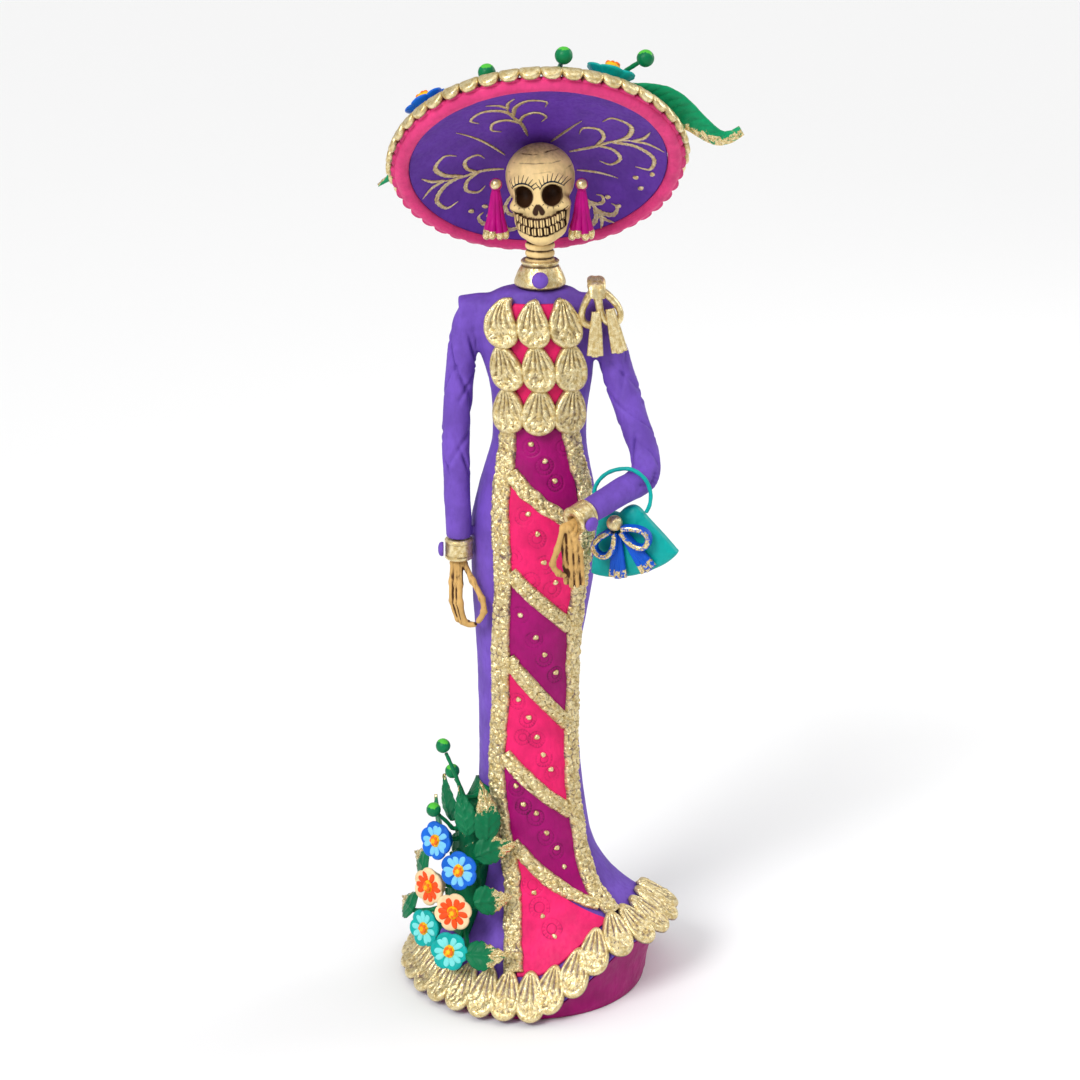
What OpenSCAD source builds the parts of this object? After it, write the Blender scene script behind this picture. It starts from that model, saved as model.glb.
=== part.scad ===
// Papier-mache skeleton lady in a long gown, with a lift-off brimmed hat and a hanging handbag.
// Millimetres. +Z up, the face looks along -Y, origin at the centre of the base underside.

/* [Base] */
// radius of the round base board
board_r = 45; // [40:0.5:45.5]
// thickness of the base board
board_t = 3; // [2:0.5:5]

/* [Gown] */
// radius of the hem
hem_r = 54; // [50:0.5:58]
// how far the train reaches out to one side
train = 5; // [0:0.5:8]
// height of the hem edge at the front
hem_z0 = 4.5; // [3.5:0.5:12]
// rise of the hem edge over the train
hem_rise = 24.5; // [0:0.5:30]
// height where the skirt starts to flare
flare_z = 78; // [60:1:95]
// height of the seam between skirt and bodice
seam_z = 238; // [232:1:244]
// wall of the papier-mache shell
wall = 2.2; // [1.6:0.2:3]

/* [Trimmings] */
// width of the gilded edge trims
trim_w = 7.6; // [5:0.2:9]
// height of the gilded trims above the cloth
trim_h = 2.3; // [1.2:0.1:3]
// thickness of the coloured front panels
panel_t = 0.9; // [0.6:0.1:1.4]
// number of petals round the hem
hem_petal_n = 31; // [20:1:36]
// length of a hem petal
hem_petal_l = 19.5; // [14:0.5:22]

/* [Arms] */
// radius of the sleeves at the wrist
wrist_r = 5.2; // [4.6:0.1:6]
// radius of the arm wire
arm_wire_r = 1; // [0.8:0.1:1.3]
// radius of the upright wire
spine_r = 1.2; // [1:0.1:1.6]

/* [Head] */
// radius of the cranium
skull_r = 14.3; // [13:0.1:15]
// radius of the neck
neck_r = 5.9; // [5:0.1:6.5]

/* [Hat] */
// outer radius of the hat rim
hat_r = 57; // [50:0.5:60]
// radius of the hollow under the hat
bowl_r = 51; // [44:0.5:54]
// depth of the hollow under the hat
bowl_d = 10.4; // [8:0.1:14]
// tilt of the hat towards the back
hat_tilt = 46; // [30:1:50]
// number of scallops round the rim
scallop_n = 46; // [30:2:56]
// radius of the two pins that locate the hat
pin_r = 0.8; // [0.6:0.05:1]
// running clearance of the pins in their sockets
pin_gap = 0.06; // [0.04:0.01:0.1]

/* [Handbag] */
// width of the pouch at the bottom
bag_w = 37; // [30:1:42]
// radius of the handle wire
handle_r = 0.8; // [0.6:0.05:1]

/* [Hidden] */
$fn = 48;
sides = 36;
gap = 0.2;
roll = 4;
body_cx = [[72, 0], [90, -1], [124, -2.4], [147, -2], [169, -0.8], [190, 0.6], [204, 1],
    [222, 1.6], [239, 2.8], [266, 3.2], [280, 1.5], [292, -0.5], [298, -0.6], [301, 1], [303.2, 3]];
body_rx = [[72, 23.4], [90, 21.8], [124, 20.5], [147, 21.5], [169, 24], [190, 26.2], [204, 26.8],
    [222, 23.2], [239, 19], [252, 19], [266, 21], [280, 24], [292, 25.6], [297, 24.6], [300, 20.5],
    [302, 14.5], [303.2, 9]];
body_ry = [[72, 21.7], [90, 20.6], [124, 19.5], [147, 20], [169, 21.5], [190, 22.5], [204, 22.5],
    [222, 19.5], [239, 16], [252, 15.4], [266, 14.8], [280, 13.5], [292, 12], [298, 10.2], [301, 9],
    [303.2, 7.6]];
skull_c = [3, 0, 346];
hat_c = [2.4, 3, 350];
bag_c = [38.5, -25.9, 204.2];
bag_tilt = 19;
bag_turn = -18;
collar_z = 303.6;

// ---------- colours ----------
c_violet = [0.49, 0.34, 0.78];
c_gold = [0.75, 0.65, 0.38];
c_bone = [0.88, 0.75, 0.5];
c_magenta = [0.66, 0, 0.48];
c_pink = [0.93, 0.22, 0.51];
c_green = [0, 0.42, 0.24];
c_turquoise = [0, 0.65, 0.63];
c_blue = [0.05, 0.38, 0.8];
c_cream = [0.9, 0.78, 0.6];
c_yellow = [0.98, 0.72, 0.05];
c_steel = [0.6, 0.6, 0.62];
c_paper = [0.78, 0.74, 0.66];
c_wood = [0.7, 0.55, 0.38];

// ---------- vector helpers ----------
function unit(v) = v / norm(v);
function mix(a, b, t) = a + (b - a) * t;
function smooth_in(z, tab) = (lookup(z - 4, tab) + 2 * lookup(z, tab) + lookup(z + 4, tab)) / 4;
function blend(p0, p1, p2, p3, t) = 0.5 * (2 * p1 + (p2 - p0) * t
    + (2 * p0 - 5 * p1 + 4 * p2 - p3) * t * t + (3 * p1 - p0 - 3 * p2 + p3) * t * t * t);
function curve(p, k) = let (m = len(p) - 1) [for (i = [0:m - 1], j = [0:k - 1])
    blend(p[max(i - 1, 0)], p[i], p[i + 1], p[min(i + 2, m)], j / k), p[m]];

// ---------- lofted solids ----------
function skin(n, m, wrap) = [for (j = [0:(wrap ? m - 1 : m - 2)], i = [0:n - 1])
    let (q = (j + 1) % m, a = j * n + i, b = j * n + (i + 1) % n, c = q * n + (i + 1) % n, d = q * n + i)
    each [[a, c, b], [a, d, c]]];

function centroid(r) = [for (k = [0:2]) let (s = [for (p = r) p[k]]) s * [for (p = r) 1] / len(r)];

// solid through a stack of rings, closed by a fan at both ends
module loft(rings) {
    n = len(rings[0]);
    m = len(rings);
    pts = concat([for (r = rings) each r], [centroid(rings[0]), centroid(rings[m - 1])]);
    lower = [for (i = [0:n - 1]) [i, (i + 1) % n, n * m]];
    upper = [for (i = [0:n - 1]) [(m - 1) * n + (i + 1) % n, (m - 1) * n + i, n * m + 1]];
    polyhedron(pts, concat(skin(n, m, false), lower, upper), convexity = 8);
}

// hollow sleeve: outer rings upwards, then inner rings downwards
module shell(rings) {
    polyhedron([for (r = rings) each r], skin(len(rings[0]), len(rings), true), convexity = 8);
}

function heading(p, i) = unit(p[min(i + 1, len(p) - 1)] - p[max(i - 1, 0)]);
function carried(s, t) = unit(s - (s * t) * t);
function side_vectors(p, s0) = [for (i = 0, s = carried(s0, heading(p, 0)); i < len(p);
    i = i + 1, s = i < len(p) ? carried(s, heading(p, i)) : s) s];

function tube_rings(p, r, n, s0) = let (sv = side_vectors(p, s0)) [for (i = [0:len(p) - 1])
    let (t = heading(p, i), s = sv[i], w = cross(t, s))
    [for (k = [0:n - 1]) p[i] + r[i] * (cos(360 * k / n) * s + sin(360 * k / n) * w)]];

module rod(p, r, n = 10, s0 = [1, 0.3, 0]) {
    loft(tube_rings(p, r, n, s0));
}

module pipe(p, r, bore, n = 12, s0 = [1, 0.3, 0]) {
    outer = tube_rings(p, r, n, s0);
    inner = tube_rings(p, [for (q = r) bore], n, s0);
    m = len(p);
    shell(concat(outer, [for (i = [m - 1:-1:0]) inner[i]]));
}

module place(p, x, y, z) {
    multmatrix([[x[0], y[0], z[0], p[0]], [x[1], y[1], z[1], p[1]], [x[2], y[2], z[2], p[2]],
        [0, 0, 0, 1]]) children();
}

// puts local Z along z, local Y as near as it can to y
module aim(p, z, y) {
    zz = unit(z);
    yy = unit(y - (y * zz) * zz);
    place(p, cross(yy, zz), yy, zz) children();
}

// ---------- gown surface ----------
function turn(a) = let (q = (a % 360 + 360) % 360) q > 180 ? 360 - q : q;
function ease(t) = let (q = max(0, min(1, t))) q * q * (3 - 2 * q);
// the hem rises over the train: slowly along the front, quickly round the back
function hem_z(a) = hem_z0 + hem_rise * ease((((a % 360 + 360) % 360 < 180 ? 52 : 92) - turn(a)) / 52);
function hem_rx(a) = hem_r + train * pow(max(0, cos(a)), 2);
function flare(a, z) = z >= flare_z ? 0 : pow(min(1, (flare_z - z) / (flare_z - hem_z(a))), 2.6);
function gown(a, z) = let (f = flare(a, z)) [
    smooth_in(z, body_cx) * (1 - f) + mix(smooth_in(z, body_rx), hem_rx(a), f) * cos(a),
    mix(smooth_in(z, body_ry), hem_r, f) * sin(a), z];
function gown_n(a, z) = unit(cross(gown(a + 1, z) - gown(a - 1, z), gown(a, z + 0.5) - gown(a, z - 0.5)));
function lift(a, z, h) = gown(a, z) + h * gown_n(a, z);
function mm_a(a, z) = norm(gown(a + 1, z) - gown(a - 1, z)) / 2;
function mm_z(a, z) = norm(gown(a, z + 1) - gown(a, z - 1)) / 2;

module on_gown(a, z, h) {
    aim(lift(a, z, h), gown_n(a, z), [0, 0, 1]) children();
}

// one flat step sideways from a point of a path on the gown
function beside(p, d, x) = [p[0] - d[1] * x / mm_a(p[0], p[1]), p[1] + d[0] * x / mm_z(p[0], p[1])];
function run_dir(p, i) = let (a = p[max(i - 1, 0)], b = p[min(i + 1, len(p) - 1)])
    unit([(b[0] - a[0]) * mm_a(p[i][0], p[i][1]), (b[1] - a[1]) * mm_z(p[i][0], p[i][1])]);

// raised welt that follows a path of [angle, height] points over the gown
module welt(p, w, h) {
    xs = [-0.5, -0.4, -0.18, 0.18, 0.4, 0.5];
    hs = [0.35, 0.78, 1, 1, 0.78, 0.35];
    rings = [for (i = [0:len(p) - 1]) let (d = run_dir(p, i), ww = w * (1 + 0.06 * pow(-1, i))) concat(
        [for (k = [0:5]) let (q = beside(p[i], d, xs[k] * ww)) lift(q[0], q[1], gap + panel_t + 0.15)],
        [for (k = [5:-1:0]) let (q = beside(p[i], d, xs[k] * ww))
            lift(q[0], q[1], gap + panel_t + 0.15 + hs[k] * h)])];
    loft(rings);
}

// thin panel on the gown; corners are [angle, height]: low left, low right, top right, top left
module panel(bl, br, tr, tl, nx = 8, ny = 5, low = 0.4) {
    n = 2 * nx + 2;
    grid = [for (h = [low, gap + panel_t - 0.1]) [for (j = [0:ny]) [for (i = [0:nx])
        let (q = mix(mix(bl, br, i / nx), mix(tl, tr, i / nx), j / ny)) lift(q[0], q[1], h)]]];
    rings = [for (j = [0:ny]) each concat([for (i = [0:nx]) grid[0][j][nx - i]], grid[1][j])];
    edge = [for (i = [0:nx - 1]) [nx - i - 1, nx - i, nx + 1 + i, nx + 2 + i]];
    far_edge = [for (q = edge) [for (k = [3:-1:0]) q[k] + n * ny]];
    polyhedron(rings, concat(skin(n, ny + 1, false), edge, far_edge), convexity = 8);
}

// ---------- leaf and petal ----------
function drop(w, l, k, z, n) = [for (i = [0:n - 1]) let (q = 360 * i / n)
    [-w / 2 * k * sin(q) * (1 - 0.26 * cos(q)) / 1.03, l / 2 * k * cos(q), z]];

// dished petal, root at +Y, round end at -Y, thickness along +Z
module petal(w, l, t, n = 14) {
    loft([drop(w, l, 0.9, 0, n), drop(w, l, 1, 0.4 * t, n), drop(w, l, 0.82, t, n),
        drop(w, l, 0.5, 0.72 * t, n)]);
}

// pointed leaf from the origin along +Y with a raised midrib
module leaf(l, w, t, bend = 0) {
    s = [0, 0.12, 0.28, 0.45, 0.62, 0.8, 0.93, 1];
    k = [0.16, 0.55, 0.88, 1, 0.92, 0.6, 0.26, 0.05];
    loft([for (i = [len(s) - 1:-1:0])
        let (y = l * s[i], x = w / 2 * k[i], b = bend * s[i] * s[i], q = t * (0.35 + 0.65 * k[i]))
        [[x, y, b], [0.25 * x, y, b + q * 0.35], [0, y, b + q * 0.8], [-0.25 * x, y, b + q * 0.35],
            [-x, y, b], [0, y, b - q * 0.45]]]);
}

module leaf_to(root, tip, face, w, t, bend = 0) {
    aim(root, face - (face * unit(tip - root)) * unit(tip - root), tip - root)
        leaf(norm(tip - root), w, t, bend);
}

// cupped flower facing +Z, back of the cup at z = 0
module blossom(r, h) {
    difference() {
        union() {
            cylinder(h = h, r1 = r * 0.45, r2 = r * 0.8);
            for (i = [0:5]) {
                rotate([0, 0, 60 * i]) translate([0, r * 0.58, h - 2.4]) rotate([-14, 0, 0])
                    rotate([0, 0, 180]) petal(r * 0.98, r * 1.02, 2.4, 8);
            }
        }
        translate([0, 0, h - 0.5]) cylinder(h = 4, r = r * 0.4);
    }
}

// closed ribbon loop hanging from the origin down to -l, standing along Y from 0 to d
module ribbon_loop(w, l, t, d) {
    outline = function(e) [for (q = [0:12:348])
        [(w / 2 - e) * sin(q) * (1 - 0.45 * cos(q)), -l / 2 + (l / 2 - e) * cos(q)]];
    rotate([90, 0, 0]) translate([0, 0, -d]) linear_extrude(height = d) difference() {
        polygon(outline(0));
        polygon(outline(t));
    }
}

module ribbon_tail(w, l, d) {
    rotate([90, 0, 0]) translate([0, 0, -d]) linear_extrude(height = d)
        polygon([[-w * 0.28, 0], [-w * 0.5, -l], [0, -l * 0.86], [w * 0.5, -l], [w * 0.28, 0]]);
}

// ---------- base and gown ----------
module base_board() {
    color(c_wood) difference() {
        cylinder(h = board_t, r = board_r, $fn = 96);
        translate([skull_c[0], 0, -1]) cylinder(h = board_t + 2, r = spine_r + 0.05);
    }
}

function under_ring(t, in) = [for (i = [0:sides - 1]) let (a = 360 * i / sides, k = t * t)
    [(mix(49, hem_rx(a) - 1.8, k) - in) * cos(a), (mix(50.5, hem_r - 1.8, k) - in) * sin(a),
        mix(0.3, hem_z(a) - 2.3, t)]];

module underskirt() {
    ts = [0, 0.2, 0.4, 0.6, 0.8, 1];
    color(c_magenta)
        shell(concat([for (t = ts) under_ring(t, 0)], [for (i = [5:-1:0]) under_ring(ts[i], wall)]));
}

function skirt_levels(a) = concat([for (i = [0:12]) mix(hem_z(a), flare_z, i / 13)],
    [for (i = [0:11]) mix(flare_z, seam_z, i / 11)]);
function ring_at(z, h) = [for (i = [0:sides - 1]) lift(360 * i / sides, z, h)];

module skirt() {
    lv = [for (i = [0:sides - 1]) skirt_levels(360 * i / sides)];
    up = [for (j = [0:24]) [for (i = [0:sides - 1]) lift(360 * i / sides, lv[i][j], 0)]];
    down = [for (j = [24:-3:0]) [for (i = [0:sides - 1]) lift(360 * i / sides, lv[i][j], -wall)]];
    color(c_violet) shell(concat(up, down));
}

bodice_levels = [seam_z + 0.3, 246, 256, 266, 275, 283, 290, 295, 298, 300.5, 302, 303];
function neck_hole(z) = [for (i = [0:sides - 1]) [skull_c[0] + (neck_r + 0.2) * cos(360 * i / sides),
    (neck_r + 0.2) * sin(360 * i / sides), z]];

module bodice() {
    inner = [for (z = [298, 290, 275, 256, seam_z + 0.3]) ring_at(z, -wall)];
    color(c_violet) difference() {
        shell(concat([for (z = bodice_levels) ring_at(z, 0)], [neck_hole(303.2), neck_hole(300.6)], inner));
        rod(curve(shoulder_line, 2), [for (i = [0:12]) arm_wire_r + 0.35], 8, [0, 1, 0]);
    }
}

module bodice_block(h) {
    loft([for (z = [262, 275, 283, 290, 295, 298, 300.5, 302, 303]) ring_at(z, h)]);
}

module paper_core() {
    color(c_paper) translate([skull_c[0], 0, board_t + 0.2]) difference() {
        cylinder(h = 282 - board_t, r = 9);
        translate([0, 0, -1]) cylinder(h = 300, r = spine_r + 0.05);
    }
}

module spine_wire() {
    color(c_steel) translate([skull_c[0], 0, 0.4]) cylinder(h = 336, r = spine_r);
}

// ---------- arms ----------
right_arm = [[-15, 0.6, 293.4], [-24.5, 0.3, 291], [-27.6, 0, 281], [-29.6, -0.6, 265], [-31, -1.8, 248],
    [-31.2, -3.6, 236], [-30.9, -6.6, 222], [-30.4, -9.2, 210], [-30.2, -10, 204], [-30.2, -10, 200.5]];
left_arm = [[19, 0.6, 293.4], [26, 0.3, 290.5], [30.6, -1.2, 280], [35.2, -4, 266], [40.2, -8, 251],
    [45, -12.6, 237.5], [44.6, -19.6, 229], [35, -28.4, 225.7], [22.4, -40, 221.3]];
forearm = unit([-22.2, -20.4, -7.7]);
shoulder_line = [right_arm[2], right_arm[1], right_arm[0], [3, 2.8, 293.4],
    left_arm[0], left_arm[1], left_arm[2]];

module right_sleeve() {
    p = curve(right_arm, 3);
    r = [for (i = [0:len(p) - 1]) lookup(i, [[0, 5], [3, 6.7], [9, 6.2], [15, 5.6], [27, wrist_r]])];
    color(c_violet) difference() {
        pipe(p, r, arm_wire_r + 0.25);
        bodice_block(gap);
    }
}

module left_sleeve() {
    p = curve(left_arm, 3);
    r = [for (i = [0:len(p) - 1]) lookup(i, [[0, 5], [3, 6.7], [9, 6.4], [15, 6], [19, 5.8], [24, wrist_r]])];
    color(c_violet) difference() {
        pipe(p, r, arm_wire_r + 0.25);
        bodice_block(gap);
    }
}

module arm_wire() {
    p = concat([for (i = [len(right_arm) - 1:-1:0]) right_arm[i]], [[3, 2.8, 293.4]], left_arm);
    q = curve(p, 2);
    color(c_steel) rod(q, [for (i = q) arm_wire_r], 8, [0, 1, 0]);
}

module cuff_ring() {
    rotate_extrude() polygon([[2.6, 0], [5.2, 0], [5.9, 0.7], [5.9, 1.7], [5.4, 2.3], [5.6, 4.5],
        [5.4, 6.5], [5.9, 7.1], [5.9, 8.1], [5.3, 8.8], [2.6, 8.8]]);
}

right_wrist = [-30.2, -10, 200.1];
left_wrist = [22.2, -40.2, 221.2];

module right_cuff() {
    color(c_gold) translate(right_wrist) rotate([180, 0, 0]) cuff_ring();
}

module left_cuff() {
    color(c_gold) aim(left_wrist, forearm, [0, 0, 1]) cuff_ring();
}

module button() {
    rotate_extrude() polygon([[0, 0.2], [2.8, 0.2], [3, 0.9], [2.4, 1.8], [1.2, 2.3], [0, 2.4]]);
}

module right_cuff_button() {
    color(c_violet) translate([-36.3, -11.2, 195.6]) rotate([0, -90, 0]) button();
}

module left_cuff_button() {
    out = unit([0.62, -0.74, -0.2]);
    color(c_violet) aim(left_wrist + 4.4 * forearm + 6 * out, out, [0, 0, 1]) button();
}

module finger(pts, r) {
    p = curve(pts, 3);
    m = len(p) - 1;
    rod(p, [for (i = [0:m]) r * (1 + 0.2 * cos(360 * i / 3)) * (i == m ? 0.6 : 1)], 8);
}

module right_hand() {
    color(c_bone) union() {
        translate([-30.2, -10, 188]) cylinder(h = 11.6, r = 2.45);
        translate([-30.2, -10, 187.4]) sphere(r = 3.5, $fn = 20);
        finger([[-32.6, -9.4, 189], [-33.2, -10, 181], [-33.1, -11, 173], [-30.6, -12.6, 165.6],
            [-26.6, -14, 164.6]], 1.55);
        finger([[-31, -10.6, 189], [-31.2, -11.6, 181], [-31.1, -13, 173], [-28.8, -14.6, 165.2],
            [-25, -16, 164.6]], 1.55);
        finger([[-29.6, -11.4, 189], [-29.8, -13.4, 181], [-29.7, -15, 173.4], [-27.6, -16.6, 165.4],
            [-23.8, -18, 165.2]], 1.5);
        finger([[-28, -11.2, 189.2], [-24.6, -14.4, 183], [-20.8, -18, 176.4], [-20, -19.4, 171.4],
            [-22.2, -19.4, 167.2]], 1.6);
    }
}

module left_hand() {
    color(c_bone) union() {
        aim(left_wrist + 10.4 * forearm, -forearm, [0, 0, 1]) cylinder(h = 9.8, r = 2.45);
        translate([14, -47.6, 216.6]) sphere(r = 2.9, $fn = 20);
        finger([[12.2, -47.4, 217.4], [12.4, -47.6, 209.6], [13.2, -46, 200.6], [13.4, -44.4, 193.2]], 1.5);
        finger([[14.2, -48, 216.6], [14.8, -48, 209], [15.2, -46.6, 200.2], [15.5, -44.8, 192]], 1.5);
        finger([[15.8, -48.2, 214.8], [17, -47.8, 208.4], [17.3, -46.2, 200], [17.8, -44.6, 192]], 1.5);
        finger([[16.8, -48.2, 212.4], [18.8, -47, 207.2], [19.3, -45.4, 200.2], [19.9, -44, 192.6]], 1.45);
        finger([[12, -48.2, 217], [9.9, -49.2, 208.6], [8, -49.6, 202.6], [10.4, -49, 198.6],
            [12.6, -47.8, 197.4]], 1.5);
    }
}

// ---------- collar, neck, head ----------
module neck() {
    ribs = [for (z = [314.6:3:320.6]) each [[neck_r, z], [neck_r - 0.7, z + 0.6], [neck_r, z + 1.2]]];
    color(c_bone) translate([skull_c[0], 0, 0]) rotate_extrude()
        polygon(concat([[spine_r + 0.05, 298], [neck_r, 298]], ribs,
            [[neck_r - 0.8, 323], [neck_r - 0.8, 333], [spine_r + 0.05, 333]]));
}

module collar() {
    in = neck_r + 0.2;
    color(c_gold) translate([skull_c[0], 0, collar_z]) rotate_extrude()
        polygon([[in, 0], [9.6, 0], [10.2, 1], [9.8, 2.4], [8.6, 3.4], [7.6, 6.4], [7.3, 8.6], [7.7, 9.6],
            [7.3, 10.4], [in, 10.4]]);
}

module collar_brooch() {
    color(c_violet) aim([3, -9.4, 307.4], [0, -1, 0.35], [0, 0, 1])
        rotate_extrude() polygon([[0, 0.2], [2.8, 0.2], [3.3, 1.2], [2.8, 2.4], [1.5, 3.2], [0, 3.4]]);
}

module tooth(a, z, w, h) {
    rotate([0, 0, a]) translate([0, -8.7, z]) cube([w, 2.2, h], center = true);
}

module skull() {
    color(c_bone) difference() {
        translate(skull_c) rotate([0, -5, 0]) rotate([0, 0, -6]) difference() {
            union() {
                translate([0, 1, 0.4]) sphere(r = skull_r, $fn = 64);
                hull() {
                    translate([-7.4, -6.6, -1]) sphere(r = 5, $fn = 24);
                    translate([7.4, -6.6, -1]) sphere(r = 5, $fn = 24);
                    translate([-7.6, -8.2, -7.4]) sphere(r = 3.4, $fn = 20);
                    translate([7.6, -8.2, -7.4]) sphere(r = 3.4, $fn = 20);
                    translate([0, -9, -11]) sphere(r = 5.6, $fn = 24);
                }
                hull() {
                    translate([-7.4, -3.6, -13]) sphere(r = 2.4, $fn = 16);
                    translate([7.4, -3.6, -13]) sphere(r = 2.4, $fn = 16);
                    translate([-5.4, -7.6, -20.6]) sphere(r = 3, $fn = 20);
                    translate([5.4, -7.6, -20.6]) sphere(r = 3, $fn = 20);
                    translate([0, -9.6, -22.4]) sphere(r = 3.4, $fn = 20);
                }
                translate([0, -4.6, -14.2]) cylinder(h = 7, r = 8.4, center = true);
                translate([0, -5.4, 0]) for (i = [-3.5:1:3.5]) {
                    tooth(i * 15, -12.2, 2, 3);
                    tooth(i * 15, -15.8, 1.9, 2.8);
                }
            }
            translate([-5.9, -15.2, -2.6]) sphere(r = 4.4, $fn = 28);
            translate([5.9, -15.2, -2.6]) sphere(r = 4.4, $fn = 28);
            translate([-1.3, -15.6, -8.2]) rotate([0, 14, 0]) cube([1.8, 5, 4.2], center = true);
            translate([1.3, -15.6, -8.2]) rotate([0, -14, 0]) cube([1.8, 5, 4.2], center = true);
        }
        translate([skull_c[0], 0, 300]) cylinder(h = 33.2, r = neck_r + 0.2);
        translate([skull_c[0], 0, 330]) cylinder(h = 7, r = spine_r + 0.05);
        on_hat() for (x = [-5, 5]) translate([x + skull_x, skull_y, -6]) cylinder(h = 30, r = pin_r);
    }
}

// knot at [x, y] with four cords below it, cut back from the cranium
module tassel(x, y) {
    difference() {
        translate([x, y, 344.4]) {
            sphere(r = 2.5, $fn = 24);
            for (k = [-1.5:1:1.5]) {
                translate([k * 0.7, 0, -1.6]) rotate([0, k * -6.5, 0]) translate([0, 0, -20.6])
                    cylinder(h = 20.6, r1 = 1.5, r2 = 1, $fn = 16);
            }
        }
        translate(skull_c + [0, 1, 0.4]) sphere(r = skull_r + 0.1, $fn = 64);
    }
}

module earring_right() {
    color(c_magenta) tassel(-14.4, -3.4);
}

module earring_left() {
    color(c_magenta) tassel(19.4, -3.2);
}

// ---------- hat ----------
skull_x = 0.32;
skull_y = 0.79;

module on_hat() {
    translate(hat_c) rotate([0, -roll, 0]) rotate([-hat_tilt, 0, 0]) children();
}

// two-legged staple set in the cranium; the hat sockets slide over its tips
module hat_pin() {
    color(c_steel) on_hat() translate([skull_x, skull_y, 0]) {
        for (x = [-5, 5]) translate([x, 0, -6]) cylinder(h = 12.6 + bowl_d, r = pin_r);
    }
}

function bowl_z(r) = bowl_d * (1 - pow(min(1, r / bowl_r), 2.4));

module hat_bowl() {
    inner = [for (r = [0, 8, 16, 24, 31, 37, 42, 46, 49, 51]) [min(r, bowl_r), bowl_z(r)]];
    outer = [[51.2, 3.2], [46, 6.2], [40, 8.6], [33, 10.6], [26, 12.2], [21.5, 13.4], [19.4, 16],
        [17.6, 18.8], [14, 20.8], [8, 21.8], [0, 22]];
    color(c_violet) on_hat() difference() {
        rotate_extrude($fn = 96) polygon(concat(inner, outer));
        for (x = [-5, 5]) translate([x + skull_x, skull_y, 0])
            cylinder(h = bowl_d + 7.4, r = pin_r + pin_gap);
    }
}

module hat_rim() {
    color(c_pink) on_hat() union() {
        rotate_extrude($fn = 96) polygon([[51.3, -0.6], [52.4, -1.8], [54.6, -2], [56.6, -1], [hat_r, 0.6],
            [56.2, 2.4], [54.4, 3.4], [51.3, 3.2]]);
        for (i = [0:scallop_n - 1]) rotate([0, 0, 360 * (i + 0.5) / scallop_n])
            translate([hat_r - 2, 0, -0.8]) cylinder(h = 2.6, r = 3.2, $fn = 24);
    }
}

module hat_scallops() {
    color(c_gold) on_hat() for (i = [0:scallop_n - 1]) rotate([0, 0, 360 * (i + 0.5) / scallop_n])
        translate([hat_r - 3.4, 0, 3.6]) rotate([0, 16, 0])
            cylinder(h = 2.5, r1 = 3.5, r2 = 2.5, $fn = 24);
}

// the flowers lean outwards over the rim
blue_flower = [-39.5, -25.8, 9.4];
teal_flower = [29, -35.4, 9.4];
flower_lean = 0.7;

module on_hat_flower(c) {
    on_hat() translate(c) rotate([-flower_lean * c[1], flower_lean * c[0], 0]) children();
}

module hat_flower_blue() {
    color(c_blue) on_hat_flower(blue_flower) blossom(8.2, 6);
}

module hat_flower_teal() {
    color(c_turquoise) on_hat_flower(teal_flower) blossom(9, 6);
}

module centre_knob(r) {
    rotate_extrude($fn = 24) polygon([[0, 0], [r, 0], [r * 0.95, r * 0.5], [r * 0.6, r * 0.9], [0, r]]);
}

module hat_flower_centres() {
    color(c_yellow) {
        on_hat_flower(blue_flower) translate([0, 0, 5.7]) centre_knob(2.7);
        on_hat_flower(teal_flower) translate([0, 0, 5.7]) centre_knob(2.9);
    }
}

module hat_leaf_large() {
    color(c_green) on_hat() leaf_to([37.5, -28, 15.2], [80, -2, 8], [0.1, -0.1, 1], 15, 2.6, 3);
}

module hat_leaf_small() {
    color(c_green) on_hat() leaf_to([-40, 2, 13.4], [-65, 18, 7.4], [-0.2, 0, 1], 11, 2.4, 2);
}

hat_bud_spots = [[[-10, -33, 11.4], [-16.7, -48, 12]], [[9, -33, 11.4], [13, -56.5, 11]],
    [[22, -18, 14.6], [44.2, -42, 18]]];

module hat_buds() {
    color(c_green) on_hat() {
        for (b = hat_bud_spots) {
            rod([b[0], mix(b[0], b[1], 0.5) + [0, 0, 2.6], b[1]], [1, 0.9, 0.8], 8, [0, 0, 1]);
            translate(b[1]) sphere(r = 3.4, $fn = 28);
        }
    }
}

// ---------- gown trimmings ----------
right_edge = [[-129.6, 245], [-128.4, 234], [-126.5, 222], [-121, 207], [-118, 192], [-118, 176],
    [-119.4, 160], [-120, 145], [-120.4, 131], [-124, 116], [-127, 100], [-125, 86], [-120.6, 73],
    [-114, 62], [-109, 51],
    [-106.6, 41], [-105, 32], [-102.6, 24.5]];
left_edge = [[-50.7, 245], [-44, 234], [-38, 222], [-42, 200], [-45, 182], [-41.6, 165], [-35.4, 145],
    [-31.4, 128], [-36, 114], [-39.4, 98], [-40.4, 84], [-39, 71], [-38.4, 61], [-41, 50], [-40.6, 42.5]];
right_z = [for (p = right_edge) [p[1], p[0]]];
left_z = [for (p = left_edge) [p[1], p[0]]];
function ra(z) = lookup(z, right_z) + 3;
function la(z) = lookup(z, left_z) - 3;

// diagonal bands as [height at the right edge, height at the left edge]
bands = [[231, 206], [190.5, 163], [153, 118.5], [109.5, 79], [70, 39.5]];

module trim_right() {
    color(c_gold) welt(curve(right_edge, 2), trim_w, trim_h);
}

module trim_left() {
    color(c_gold) welt(curve(left_edge, 2), trim_w, trim_h);
}

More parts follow.
